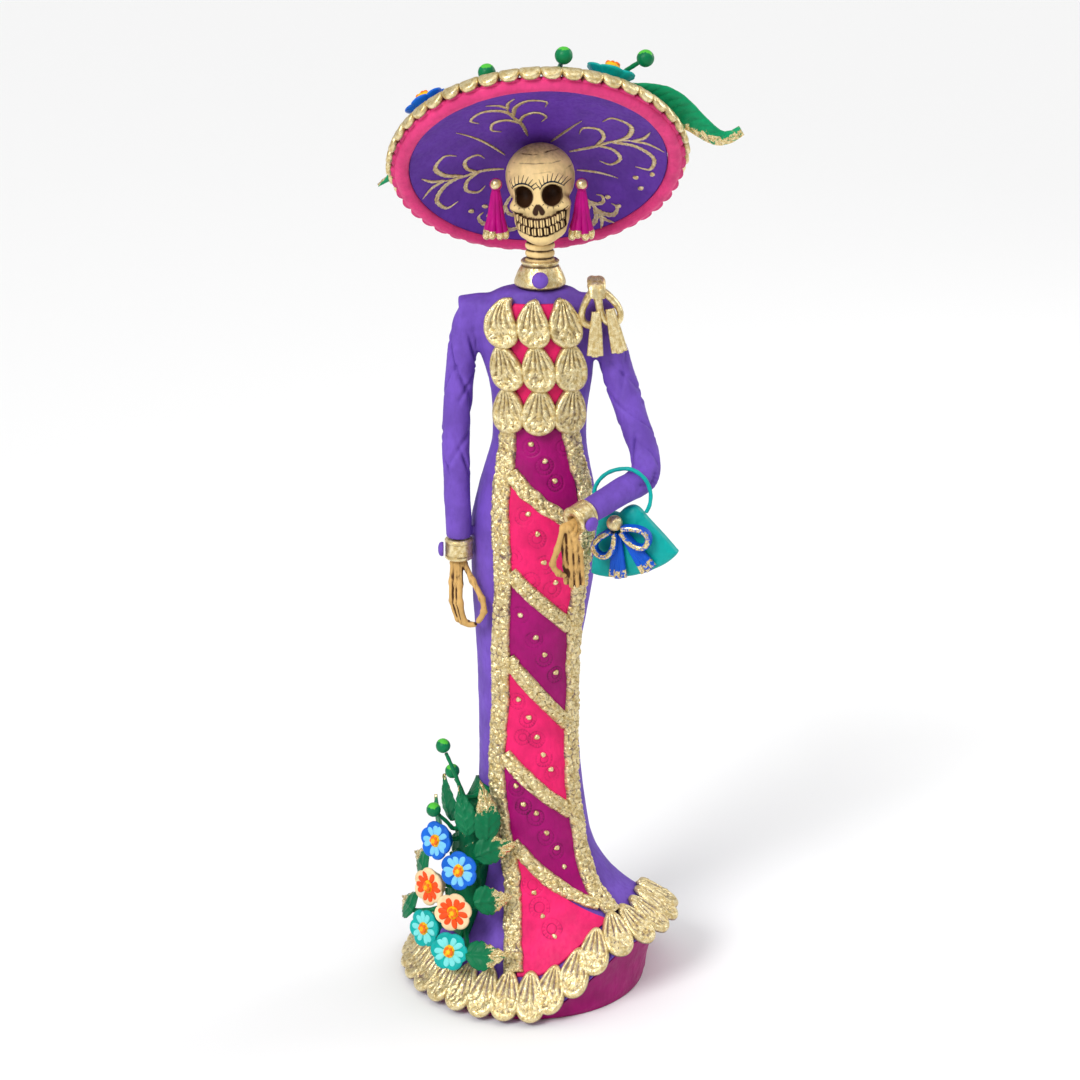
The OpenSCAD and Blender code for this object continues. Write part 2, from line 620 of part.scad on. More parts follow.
module trim_diagonals() {
    color(c_gold) for (b = bands) {
        a0 = lookup(b[0], right_z);
        a1 = lookup(b[1], left_z);
        h = mix(b[0], b[1], 0.1);
        k = mix(b[0], b[1], 0.9);
        i0 = lookup(h, right_z) + trim_w * 0.8 / mm_a(a0, h);
        i1 = lookup(k, left_z) - trim_w * 0.8 / mm_a(a1, k);
        n = 6;
        path = [for (i = [0:n]) [mix(i0, i1, i / n), mix(h, k, i / n) - 1.2 * sin(180 * i / n)]];
        welt(path, 6.4, trim_h - 0.3);
    }
}

module band_panel(top_r, top_l, low_r, low_l) {
    panel([ra(low_r), low_r], [la(low_l), low_l], [la(top_l), top_l], [ra(top_r), top_r]);
}

module panels_magenta() {
    color(c_magenta) {
        band_panel(245, 245, bands[0][0] + 1, bands[0][1] + 1);
        band_panel(bands[1][0] - 1, bands[1][1] - 1, bands[2][0] + 1, bands[2][1] + 1);
        band_panel(bands[3][0] - 1, bands[3][1] - 1, bands[4][0] + 1, bands[4][1] + 1);
    }
}

module panels_pink() {
    color(c_pink) {
        band_panel(bands[0][0] - 1, bands[0][1] - 1, bands[1][0] + 1, bands[1][1] + 1);
        band_panel(bands[2][0] - 1, bands[2][1] - 1, bands[3][0] + 1, bands[3][1] + 1);
        panel([-98, 22], [-74, 25.4], [-62, 43.4], [ra(67.5), 67.5], 6, 8);
        panel([-73.4, 25.6], [-53, 34.8], [-52.8, 38.2], [-61.4, 43], 4, 4);
    }
}

dot_spots = [[-100, 242], [-83, 235], [-72, 227], [-97, 214], [-88, 206], [-82, 194], [-70, 185], [-100, 171],
    [-84, 161], [-73.5, 153], [-59, 144], [-99.5, 133], [-88, 125], [-80, 116], [-74, 108], [-66.5, 101],
    [-105, 94], [-98, 86], [-85, 82], [-76, 73], [-66, 65.6], [-60, 57], [-89, 47], [-82, 37.6], [-75, 30.5]];

module panel_dots() {
    color(c_gold) for (d = dot_spots) on_gown(d[0], d[1], gap + panel_t + 0.05)
        cylinder(h = 0.8, r = 1.05, $fn = 20);
}

module chest_panel() {
    color(c_pink) panel([-122, 249.5], [-56, 249.5], [-66, 298], [-110, 298], 8, 8);
}

module chest_row(z, angles) {
    color(c_gold) for (a = angles) on_gown(a, z, gap + panel_t + 0.15) rotate([8, 0, 0])
        translate([0, 0, 0.6]) petal(11.8, 18.4, 2.6, 12);
}

module chest_petals_top() {
    chest_row(290.5, [-119, -89.5, -60]);
}

module chest_petals_middle() {
    chest_row(273.2, [-122.5, -90, -57.5]);
}

module chest_petals_bottom() {
    chest_row(255.8, [-126, -91, -56]);
}

// hem petals lie on the flare, root upwards, and reach just past the edge
module hem_petals() {
    color(c_gold) for (i = [0:hem_petal_n - 1]) {
        a = 360 * i / hem_petal_n - 92;
        z = mix(hem_z(a), flare_z, 0.09);
        on_gown(a, z, 0.85) rotate([1.5, 0, 0]) petal(10.6, hem_petal_l, 2.4, 10);
    }
}

module shoulder_bow_knot() {
    color(c_gold) translate([25, -4.6, 304.6]) rotate([0, 0, 90]) rotate([0, 90, 0])
        rotate_extrude() polygon([[0, -3.4], [2, -3.3], [3, -2], [3.3, 0], [3, 2], [2, 3.3], [0, 3.4]]);
}

module shoulder_bow_loops() {
    color(c_gold) {
        translate([24.4, -13.8, 303]) rotate([0, 3, 0]) ribbon_loop(9.6, 14, 1.7, 4.6);
        translate([27.6, -13.8, 303.6]) rotate([0, -38, 0]) ribbon_loop(9.6, 15, 1.7, 4.6);
    }
}

module shoulder_bow_tails() {
    color(c_gold) {
        translate([25.6, -14, 294]) rotate([0, 2, 0]) translate([0, -1.4, 0]) ribbon_tail(6, 17, 1.2);
        translate([31, -14, 295.4]) rotate([0, -12, 0]) translate([0, -1.4, 0]) ribbon_tail(6, 17, 1.2);
    }
}

// ---------- bouquet at the foot of the gown ----------
module bouquet_bed() {
    zs = [24, 30, 38, 48, 60, 72, 82, 90];
    hs = [1.2, 6, 9, 11, 11.5, 10, 6, 1.2];
    as = [for (i = [0:8]) -178 + i * 4.9];
    color(c_green) loft([for (j = [0:7]) concat(
        [for (i = [8:-1:0]) lift(as[i], zs[j], gap)],
        [for (i = [0:8]) let (w = sin(20 + 140 * i / 8)) lift(as[i], zs[j], gap + 0.8 + hs[j] * w)])]);
}

module bouquet_leaves_tall() {
    color(c_green) {
        leaf_to([-19.6, -29.4, 72], [-21.8, -25.2, 98.5], [0.15, -1, 0.1], 10, 2.2, -1.5);
        leaf_to([-28, -26.4, 74], [-30.4, -21.8, 94.5], [-0.4, -1, 0.1], 10, 2.2, -1.5);
        leaf_to([-34.4, -9.6, 73], [-38, -4, 92], [-0.8, -0.5, 0.1], 11, 2.2, -1.5);
        leaf_to([-38.6, 2, 60], [-43, 10, 76], [-1, 0.1, 0.2], 11, 2.2, -1.5);
    }
}

module bouquet_leaves_low() {
    color(c_green) {
        leaf_to([-24, -31.4, 66], [-5.6, -28.4, 72], [-0.1, -1, 0.1], 9.5, 2, -1);
        leaf_to([-24.4, -37, 47], [-8.4, -34.5, 50.4], [-0.1, -1, 0.1], 10, 2, -1);
        leaf_to([-28, -45.4, 27.6], [-9.4, -47.4, 30.6], [0, -0.8, 0.6], 9.5, 2, -0.5);
        leaf_to([-46, 0, 44], [-52, 16, 47], [-1, -0.2, 0.3], 11, 2, -1);
        leaf_to([-52, -6, 28], [-57, 10, 29], [-0.9, -0.2, 0.5], 10, 2, -1);
    }
}

bud_spots = [[-36.3, -16, 106.8, -29.4, -16.6, 87.4], [-32.6, -10.2, 92.6, -28.8, -11.8, 84],
    [-39.6, -17, 79, -34, -15, 71.8]];

module bouquet_stems() {
    color(c_green) for (b = bud_spots)
        rod([[b[3], b[4], b[5]], [mix(b[0], b[3], 0.45), mix(b[1], b[4], 0.5), mix(b[2], b[5], 0.5)],
            [b[0], b[1], b[2]]], [0.9, 0.8, 0.75], 8);
}

module bouquet_buds() {
    color(c_green) for (b = bud_spots) {
        tip = [b[0], b[1], b[2]];
        translate(tip + 3.7 * unit(tip - [b[3], b[4], b[5]])) sphere(r = 3.1, $fn = 28);
    }
}

module bouquet_flower(p, dir) {
    aim(p - 8 * unit(dir), dir, [0, 0, 1]) blossom(7.6, 7.6);
}

blue_at = [[[-41.4, -22, 69.4], [-0.75, -0.9, 0.3]], [[-31.2, -34.6, 61.4], [-0.35, -1, 0.25]]];
cream_at = [[[-44.6, -25.6, 49.6], [-0.8, -0.9, 0.15]], [[-33.6, -38.4, 44], [-0.3, -1, 0.2]]];
teal_at = [[[-46.4, -30.4, 32.6], [-0.8, -0.9, 0.25]], [[-35.2, -43.6, 28.6], [-0.3, -1, 0.3]]];

module bouquet_flowers_blue() {
    color(c_blue) for (f = blue_at) bouquet_flower(f[0], f[1]);
}

module bouquet_flowers_cream() {
    color(c_cream) for (f = cream_at) bouquet_flower(f[0], f[1]);
}

module bouquet_flowers_teal() {
    color(c_turquoise) for (f = teal_at) bouquet_flower(f[0], f[1]);
}

module bouquet_flower_centres() {
    color(c_yellow) for (f = concat(blue_at, cream_at, teal_at))
        aim(f[0] - 0.7 * unit(f[1]), f[1], [0, 0, 1]) centre_knob(2.4);
}

// ---------- handbag ----------
module on_bag() {
    translate(bag_c) rotate([0, 0, bag_turn]) rotate([0, -bag_tilt, 0]) children();
}

// left half of the heart-shaped pouch, from the top middle to the bottom middle
half_pouch = [[0, 12], [-3, 13.6], [-6.4, 14], [-9, 12.2], [-11.4, 7], [-14.6, 0.6], [-18.4, -7.4],
    [-18.6, -9.6], [-13, -12.4], [-5, -14], [0, -14.3]];
whole_pouch = concat(half_pouch, [for (i = [9:-1:1]) [-half_pouch[i][0], half_pouch[i][1]]]);
function pouch_ring(k, y) = [for (q = whole_pouch) [q[0] * k * bag_w / 37, y, q[1] * k + (1 - k) * -2]];

module handbag_pouch() {
    slices = [[0.6, 4], [0.86, 3.3], [0.97, 2], [1, 0], [0.97, -2], [0.86, -3.3], [0.6, -4]];
    color(c_turquoise) on_bag() loft([for (q = slices) pouch_ring(q[0], q[1])]);
}

handle_path = [[-7, 0, 14.4], [-8.2, 0, 19.6], [-6, 0, 25], [-1, 0, 28.6], [5, 0, 29.6], [11, 0, 28.1],
    [14.9, 0, 23.4], [15.6, 0, 17.8], [13.8, 0, 12.8], [11.2, 0, 9.8]];

module handbag_handle() {
    p = curve(handle_path, 2);
    color(c_turquoise) on_bag() rod(p, [for (i = p) handle_r], 8, [0, 1, 0]);
}

module handbag_bow_loops() {
    color(c_blue) on_bag() {
        translate([-1.6, -10, 7]) rotate([0, 50, 0]) ribbon_loop(8.4, 13, 1.6, 4.4);
        translate([1.6, -10, 7]) rotate([0, -50, 0]) ribbon_loop(8.4, 13, 1.6, 4.4);
    }
}

module handbag_bow_tails() {
    color(c_blue) on_bag() {
        translate([-1.4, -5.6, 4.6]) rotate([0, 18, 0]) ribbon_tail(6, 18.6, 1.2);
        translate([1.4, -5.6, 4.6]) rotate([0, -18, 0]) ribbon_tail(6, 18.6, 1.2);
    }
}

module handbag_bead() {
    color(c_gold) on_bag() translate([0, -8.2, 10.3]) sphere(r = 3.2, $fn = 32);
}

base_board();
underskirt();
skirt();
bodice();
paper_core();
spine_wire();
arm_wire();
right_sleeve();
left_sleeve();
right_cuff();
left_cuff();
right_cuff_button();
left_cuff_button();
right_hand();
left_hand();
neck();
collar();
collar_brooch();
chest_panel();
chest_petals_top();
chest_petals_middle();
chest_petals_bottom();
panels_magenta();
panels_pink();
panel_dots();
trim_right();
trim_left();
trim_diagonals();
hem_petals();
shoulder_bow_knot();
shoulder_bow_loops();
shoulder_bow_tails();
bouquet_bed();
bouquet_leaves_tall();
bouquet_leaves_low();
bouquet_stems();
bouquet_buds();
bouquet_flowers_blue();
bouquet_flowers_cream();
bouquet_flowers_teal();
bouquet_flower_centres();
skull();
earring_right();
earring_left();
hat_pin();
hat_bowl();
hat_rim();
hat_scallops();
hat_flower_blue();
hat_flower_teal();
hat_flower_centres();
hat_leaf_large();
hat_leaf_small();
hat_buds();
handbag_pouch();
handbag_handle();
handbag_bow_loops();
handbag_bow_tails();
handbag_bead();
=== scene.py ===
import bmesh
import bpy
import math
import numpy as np
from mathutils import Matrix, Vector


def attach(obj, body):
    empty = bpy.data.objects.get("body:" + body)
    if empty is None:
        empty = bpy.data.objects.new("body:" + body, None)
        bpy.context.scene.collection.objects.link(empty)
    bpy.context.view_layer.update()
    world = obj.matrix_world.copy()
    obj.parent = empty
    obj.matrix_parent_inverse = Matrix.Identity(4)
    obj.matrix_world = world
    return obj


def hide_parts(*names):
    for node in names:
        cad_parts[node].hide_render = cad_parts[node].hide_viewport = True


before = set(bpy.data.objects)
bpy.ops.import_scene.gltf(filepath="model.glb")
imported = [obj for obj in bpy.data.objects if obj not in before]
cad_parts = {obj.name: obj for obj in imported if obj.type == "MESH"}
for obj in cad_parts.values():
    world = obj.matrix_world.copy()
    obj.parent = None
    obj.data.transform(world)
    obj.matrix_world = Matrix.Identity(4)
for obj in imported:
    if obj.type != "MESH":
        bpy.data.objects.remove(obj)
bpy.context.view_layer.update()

# Lengths in this script are millimetres and angles are degrees; MM turns a length into metres.
MM = 0.001


# ---------- sizes shared with the CAD part ----------
HEM_R, TRAIN, HEM_Z0, HEM_RISE = 54.0, 5.0, 4.5, 24.5
FLARE_Z, WALL, GAP, PANEL_T = 78.0, 2.2, 0.2, 0.9
TRIM_W, TRIM_H = 7.6, 2.3
HEM_PETALS, HEM_PETAL_L = 31, 19.5
# gown at [height, millimetres]: its middle, half width and half depth
BODY_CX = [[72, 0], [90, -1], [124, -2.4], [147, -2], [169, -0.8], [190, 0.6], [204, 1],
           [222, 1.6], [239, 2.8], [266, 3.2], [280, 1.5], [292, -0.5], [298, -0.6], [301, 1], [303.2, 3]]
BODY_RX = [[72, 23.4], [90, 21.8], [124, 20.5], [147, 21.5], [169, 24], [190, 26.2], [204, 26.8],
           [222, 23.2], [239, 19], [252, 19], [266, 21], [280, 24], [292, 25.6], [297, 24.6],
           [300, 20.5], [302, 14.5], [303.2, 9]]
BODY_RY = [[72, 21.7], [90, 20.6], [124, 19.5], [147, 20], [169, 21.5], [190, 22.5], [204, 22.5],
           [222, 19.5], [239, 16], [252, 15.4], [266, 14.8], [280, 13.5], [292, 12], [298, 10.2],
           [301, 9], [303.2, 7.6]]
SKULL_C = np.array([3.0, 0.0, 346.0])
NECK_R, COLLAR_Z = 5.9, 303.6
HAT_C, HAT_TILT, HAT_ROLL = np.array([2.4, 3.0, 350.0]), 46.0, 4.0
BOWL_R, BOWL_D, SCALLOPS = 51.0, 10.4, 46
BAG_C, BAG_TILT, BAG_TURN = np.array([38.5, -25.9, 204.2]), 19.0, -18.0


# ---------- vector helpers ----------
def unit(v):
    v = np.asarray(v, float)
    return v / np.linalg.norm(v, axis=-1, keepdims=True)


def mix(a, b, t):
    return a + (b - a) * t


def ramp(x, lo, hi):
    t = np.clip((x - lo) / (hi - lo), 0, 1)
    return t * t * (3 - 2 * t)


def bump(x, centre, width):
    return np.exp(-((x - centre) / width) ** 2)


def lookup(z, table):
    t = np.asarray(table, float)
    return np.interp(z, t[:, 0], t[:, 1])


def curve(points, k):
    """Catmull-Rom curve through the points, k steps a span."""
    p = np.asarray(points, float)
    m = len(p) - 1
    out = []
    for i in range(m):
        p0, p1, p2, p3 = p[max(i - 1, 0)], p[i], p[i + 1], p[min(i + 2, m)]
        for j in range(k):
            t = j / k
            out.append(0.5 * (2 * p1 + (p2 - p0) * t + (2 * p0 - 5 * p1 + 4 * p2 - p3) * t * t
                              + (3 * p1 - p0 - 3 * p2 + p3) * t ** 3))
    out.append(p[m])
    return np.array(out)


def along(points, step):
    """The same path with evenly spaced points."""
    d = np.concatenate([[0], np.cumsum(np.linalg.norm(np.diff(points, axis=0), axis=1))])
    s = np.linspace(0, d[-1], max(3, int(d[-1] / step) + 1))
    return np.stack([np.interp(s, d, points[:, k]) for k in range(points.shape[1])], 1)


def turned(v, axis, angle):
    """Turns vectors about one of the axes 'x', 'y' or 'z'."""
    i, j = {"x": (1, 2), "y": (2, 0), "z": (0, 1)}[axis]
    c, s = math.cos(math.radians(angle)), math.sin(math.radians(angle))
    out = np.array(v, float)
    out[..., i], out[..., j] = c * v[..., i] - s * v[..., j], s * v[..., i] + c * v[..., j]
    return out


def frame_to(z, y):
    """Axes of a local frame: Z along z, Y as near y as it can be."""
    zz = unit(z)
    yy = unit(np.asarray(y, float) - np.dot(y, zz) * zz)
    return np.stack([np.cross(yy, zz), yy, zz])


def put(local, origin, axes):
    return np.asarray(origin, float) + np.asarray(local, float) @ axes


def on_hat(v):
    """From the hat's own frame, Z out of its crown, to the figure's."""
    return HAT_C + turned(turned(np.asarray(v, float), "x", -HAT_TILT), "y", -HAT_ROLL)


def on_bag(v):
    """From the handbag's own frame to the figure's."""
    return BAG_C + turned(turned(np.asarray(v, float), "y", -BAG_TILT), "z", BAG_TURN)


# ---------- noise ----------
def scatter(ix, iy, iz, seed):
    n = (ix * 73856093) ^ (iy * 19349663) ^ (iz * 83492791) ^ (seed * 26544357)
    n = ((n ^ (n >> 13)) * 1274126177) & 0xFFFFFFFF
    n = ((n ^ (n >> 15)) * 668265263) & 0xFFFFFFFF
    return ((n ^ (n >> 16)) & 0xFFFFFF) / float(0xFFFFFF)


def noise(p, size, seed=0):
    """Smooth noise from -1 to 1 whose lumps are about size across."""
    q = np.asarray(p) / size
    i = np.floor(q).astype(np.int64)
    f = q - i
    f = f * f * (3 - 2 * f)
    total = np.zeros(q.shape[:-1])
    for dx in (0, 1):
        for dy in (0, 1):
            for dz in (0, 1):
                w = np.abs(1 - dx - f[..., 0]) * np.abs(1 - dy - f[..., 1]) * np.abs(1 - dz - f[..., 2])
                total += w * scatter(i[..., 0] + dx, i[..., 1] + dy, i[..., 2] + dz, seed)
    return total * 2 - 1


def rough(p, size, seed=0):
    return (noise(p, size, seed) + 0.5 * noise(p, size / 2.1, seed + 1)
            + 0.25 * noise(p, size / 4.3, seed + 2)) / 1.75


def grains(p, size, seed=0):
    """Distances to the nearest and second nearest grain centre, in grain sizes."""
    q = np.asarray(p) / size
    i = np.floor(q).astype(np.int64)
    near = np.full(q.shape[:-1], 9.0)
    second = near.copy()
    for dx in (-1, 0, 1):
        for dy in (-1, 0, 1):
            for dz in (-1, 0, 1):
                c = i + np.array([dx, dy, dz])
                o = np.stack([scatter(c[..., 0], c[..., 1], c[..., 2], seed + k) for k in (11, 12, 13)], -1)
                d = np.linalg.norm(c + o - q, axis=-1)
                second = np.minimum(second, np.maximum(near, d))
                near = np.minimum(near, d)
    return near, second


def rosettes(p, size, seed=0):
    """Height from 0 to 1 of packed stamped rosettes, each a ring round a raised eye."""
    near, second = grains(p, size, seed)
    gap = np.clip((second - near) * 5.5, 0, 1) ** 0.5
    ring = 0.42 * bump(near, 0.38, 0.1) + 0.5 * bump(near, 0, 0.14) - 0.3 * bump(near, 0.21, 0.08)
    return np.clip(gap * (0.5 + ring) + 0.14 * noise(p, size * 0.3, seed + 9), 0, 1)


def beads(p, size, seed=0):
    """Height from 0 to 1 of a crust of rounded beads."""
    near, second = grains(p, size, seed)
    return np.clip((second - near) * 2.2, 0, 1) ** 0.5 * (1 - 0.5 * near)


# ---------- mesh building ----------
class Shape:
    """Collects vertices, faces and a paint value from 0 to 1 at each vertex."""

    def __init__(self):
        self.points, self.tones, self.quads, self.tris, self.count = [], [], [], [], 0

    def add(self, points, quads=None, tris=None, tone=0.0):
        points = np.asarray(points, float).reshape(-1, 3)
        self.points.append(points)
        self.tones.append(np.broadcast_to(np.asarray(tone, float).reshape(-1), (len(points),)))
        if quads is not None and len(quads):
            self.quads.append(np.asarray(quads) + self.count)
        if tris is not None and len(tris):
            self.tris.append(np.asarray(tris) + self.count)
        self.count += len(points)

    def grid(self, points, around=False, closed=False, tone=0.0, ends=False):
        """Adds a net of points [row, column]. around joins the last column to the first, closed the last
        row to the first, and ends closes the first and last row with a fan."""
        rows, cols = points.shape[:2]
        j, i = np.meshgrid(np.arange(rows if closed else rows - 1), np.arange(cols if around else cols - 1),
                           indexing="ij")
        j, i = j.ravel(), i.ravel()
        a, b = j * cols + i, j * cols + (i + 1) % cols
        d, c = (j + 1) % rows * cols + i, (j + 1) % rows * cols + (i + 1) % cols
        quads = np.stack([a, b, c, d], 1)
        flat = points.reshape(-1, 3)
        tone = np.broadcast_to(np.asarray(tone, float), (rows, cols)).reshape(-1)
        tris = None
        if ends:
            k = np.arange(cols)
            n = (k + 1) % cols
            base = (rows - 1) * cols
            tris = np.concatenate([np.stack([n, k, np.full(cols, rows * cols)], 1),
                                   np.stack([base + k, base + n, np.full(cols, rows * cols + 1)], 1)])
            flat = np.concatenate([flat, [points[0].mean(0), points[-1].mean(0)]])
            tone = np.concatenate([tone, [tone[0], tone[base]]])
        self.add(flat, quads, tris, tone)

    def tube(self, path, radius, sides=16, tone=0.0):
        """Round rod along a path. radius is a number, one per point, or one per point and side."""
        t = unit(np.gradient(path, axis=0))
        s = np.array([1, 0.3, 0])
        frames = []
        for k in t:
            s = unit(s - np.dot(s, k) * k)
            frames.append((s, np.cross(k, s)))
        q = np.linspace(0, 2 * math.pi, sides, endpoint=False)
        r = np.broadcast_to(np.asarray(radius, float).reshape(-1, 1) if np.ndim(radius) < 2 else radius,
                            (len(path), sides))
        rings = np.stack([p + rr[:, None] * (np.cos(q)[:, None] * a + np.sin(q)[:, None] * b)
                          for p, rr, (a, b) in zip(path, r, frames)])
        self.grid(rings, around=True, ends=True, tone=tone)

    def spin(self, profile, place=None, steps=96, height=None, tone=None):
        """Turns a closed [radius, z] outline about Z."""
        q = np.linspace(0, 2 * math.pi, steps, endpoint=False)
        p = np.asarray(profile, float)
        pts = np.stack([p[:, None, 0] * np.cos(q), p[:, None, 0] * np.sin(q), p[:, None, 1] + 0 * q], -1)
        if height is not None:
            pts = pts + height(pts)
        t = 0.0 if tone is None else tone(pts)
        self.grid(pts if place is None else place(pts), around=True, closed=True, tone=t)

    def build(self, name):
        mesh = bpy.data.meshes.new(name)
        points = np.concatenate(self.points) * MM
        mesh.vertices.add(len(points))
        mesh.vertices.foreach_set("co", points.ravel())
        quads = np.concatenate(self.quads) if self.quads else np.zeros((0, 4), int)
        tris = np.concatenate(self.tris) if self.tris else np.zeros((0, 3), int)
        corners = np.concatenate([quads.ravel(), tris.ravel()]).astype(np.int32)
        starts = np.concatenate([np.arange(len(quads)) * 4, len(quads) * 4 + np.arange(len(tris)) * 3])
        mesh.loops.add(len(corners))
        mesh.loops.foreach_set("vertex_index", corners)
        mesh.polygons.add(len(starts))
        mesh.polygons.foreach_set("loop_start", starts.astype(np.int32))
        mesh.update(calc_edges=True)
        mesh.validate()
        mesh.shade_smooth()
        tone = mesh.attributes.new("tone", "FLOAT", "POINT")
        tone.data.foreach_set("value", np.concatenate(self.tones).astype(np.float32))
        return mesh


def outward(mesh):
    """Points the faces of every closed lump outwards."""
    b = bmesh.new()
    b.from_mesh(mesh)
    bmesh.ops.recalc_face_normals(b, faces=b.faces)
    b.to_mesh(mesh)
    b.free()


def piece(name, mesh, material, nodes, body="figure"):
    """Puts a modelled piece on its body in place of the named CAD nodes."""
    if isinstance(mesh, Shape):
        mesh = mesh.build(name)
        outward(mesh)
    mesh.materials.clear()
    mesh.materials.append(material)
    obj = bpy.data.objects.new(name, mesh)
    bpy.context.scene.collection.objects.link(obj)
    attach(obj, body)
    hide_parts(*nodes)
    return obj


def unplaced(name, shape, material):
    """An object built from a shape that stands in for no CAD node."""
    mesh = shape.build(name)
    outward(mesh)
    mesh.materials.append(material)
    obj = bpy.data.objects.new(name, mesh)
    bpy.context.scene.collection.objects.link(obj)
    return obj


def coords(mesh):
    v = np.empty(len(mesh.vertices) * 3)
    mesh.vertices.foreach_get("co", v)
    return v.reshape(-1, 3) / MM


def normals(mesh):
    n = np.empty(len(mesh.vertices) * 3)
    mesh.vertex_normals.foreach_get("vector", n)
    return n.reshape(-1, 3)


def set_coords(mesh, v):
    mesh.vertices.foreach_set("co", (v * MM).ravel())
    mesh.update()


def relax(mesh, times):
    """Smooths a mesh by moving each vertex half way to the middle of its neighbours."""
    e = np.empty(len(mesh.edges) * 2, np.int32)
    mesh.edges.foreach_get("vertices", e)
    a, b = e.reshape(-1, 2).T
    v = coords(mesh)
    n = np.maximum(np.bincount(a, minlength=len(v)) + np.bincount(b, minlength=len(v)), 1)
    for _ in range(times):
        total = np.stack([np.bincount(a, v[b, c], len(v)) + np.bincount(b, v[a, c], len(v))
                          for c in range(3)], 1)
        v = v + 0.5 * (total / n[:, None] - v)
    set_coords(mesh, v)


def remeshed(shape, voxel, name):
    """One closed skin round all the solids of a shape."""
    obj = bpy.data.objects.new(name + "_raw", shape.build(name + "_raw"))
    bpy.context.scene.collection.objects.link(obj)
    m = obj.modifiers.new("skin", "REMESH")
    m.mode = "VOXEL"
    m.voxel_size = voxel * MM
    mesh = bpy.data.meshes.new_from_object(obj.evaluated_get(bpy.context.evaluated_depsgraph_get()))
    mesh.name = name
    bpy.data.objects.remove(obj)
    mesh.shade_smooth()
    return mesh


def set_tone(mesh, tone):
    a = mesh.attributes.get("tone") or mesh.attributes.new("tone", "FLOAT", "POINT")
    a.data.foreach_set("value", np.asarray(tone, np.float32))


def skin_of_field(field, lo, hi, step):
    """Mesh of the surface where a field of signed distances is zero, by surface nets."""
    axes = [np.arange(a, b + step, step) for a, b in zip(lo, hi)]
    p = np.stack(np.meshgrid(*axes, indexing="ij"), -1)
    f = field(p)
    inside = f < 0
    n = [s - 1 for s in f.shape]
    corner = lambda a, d: a[d[0]:d[0] + n[0], d[1]:d[1] + n[1], d[2]:d[2] + n[2]]
    total, hits = np.zeros(n + [3]), np.zeros(n)
    ends = [(x, y, z) for x in (0, 1) for y in (0, 1) for z in (0, 1)]
    for d in ends:
        for k in range(3):
            if d[k]:
                continue
            e = tuple(v + (j == k) for j, v in enumerate(d))
            fa, fb = corner(f, d), corner(f, e)
            cross = corner(inside, d) != corner(inside, e)
            t = np.where(cross, fa / np.where(cross, fa - fb, 1), 0)
            q = np.array(d, float) + np.eye(3)[k] * t[..., None]
            total += q * cross[..., None]
            hits += cross
    used = hits > 0
    index = np.full(n, -1)
    index[used] = np.arange(used.sum())
    cell = np.argwhere(used)
    verts = np.asarray(lo) + step * (cell + total[used] / hits[used][:, None])
    quads = []
    for k in range(3):
        i, j = [q for q in range(3) if q != k]
        first = [slice(0, s) for s in f.shape]
        after = list(first)
        first[k], after[k] = slice(0, f.shape[k] - 1), slice(1, f.shape[k])
        a, b = inside[tuple(first)], inside[tuple(after)]
        at = np.argwhere(a != b)
        at = at[(at[:, i] > 0) & (at[:, j] > 0) & (at[:, i] < n[i]) & (at[:, j] < n[j])]
        flip = a[tuple(at.T)]
        di, dj = np.eye(3, dtype=int)[i], np.eye(3, dtype=int)[j]
        ring = np.stack([index[tuple((at - x).T)] for x in (di + dj, dj, 0 * di, di)], 1)
        if k == 1:
            flip = ~flip
        ring[~flip] = ring[~flip][:, ::-1]
        quads.append(ring)
    s = Shape()
    s.add(verts, np.concatenate(quads))
    return s


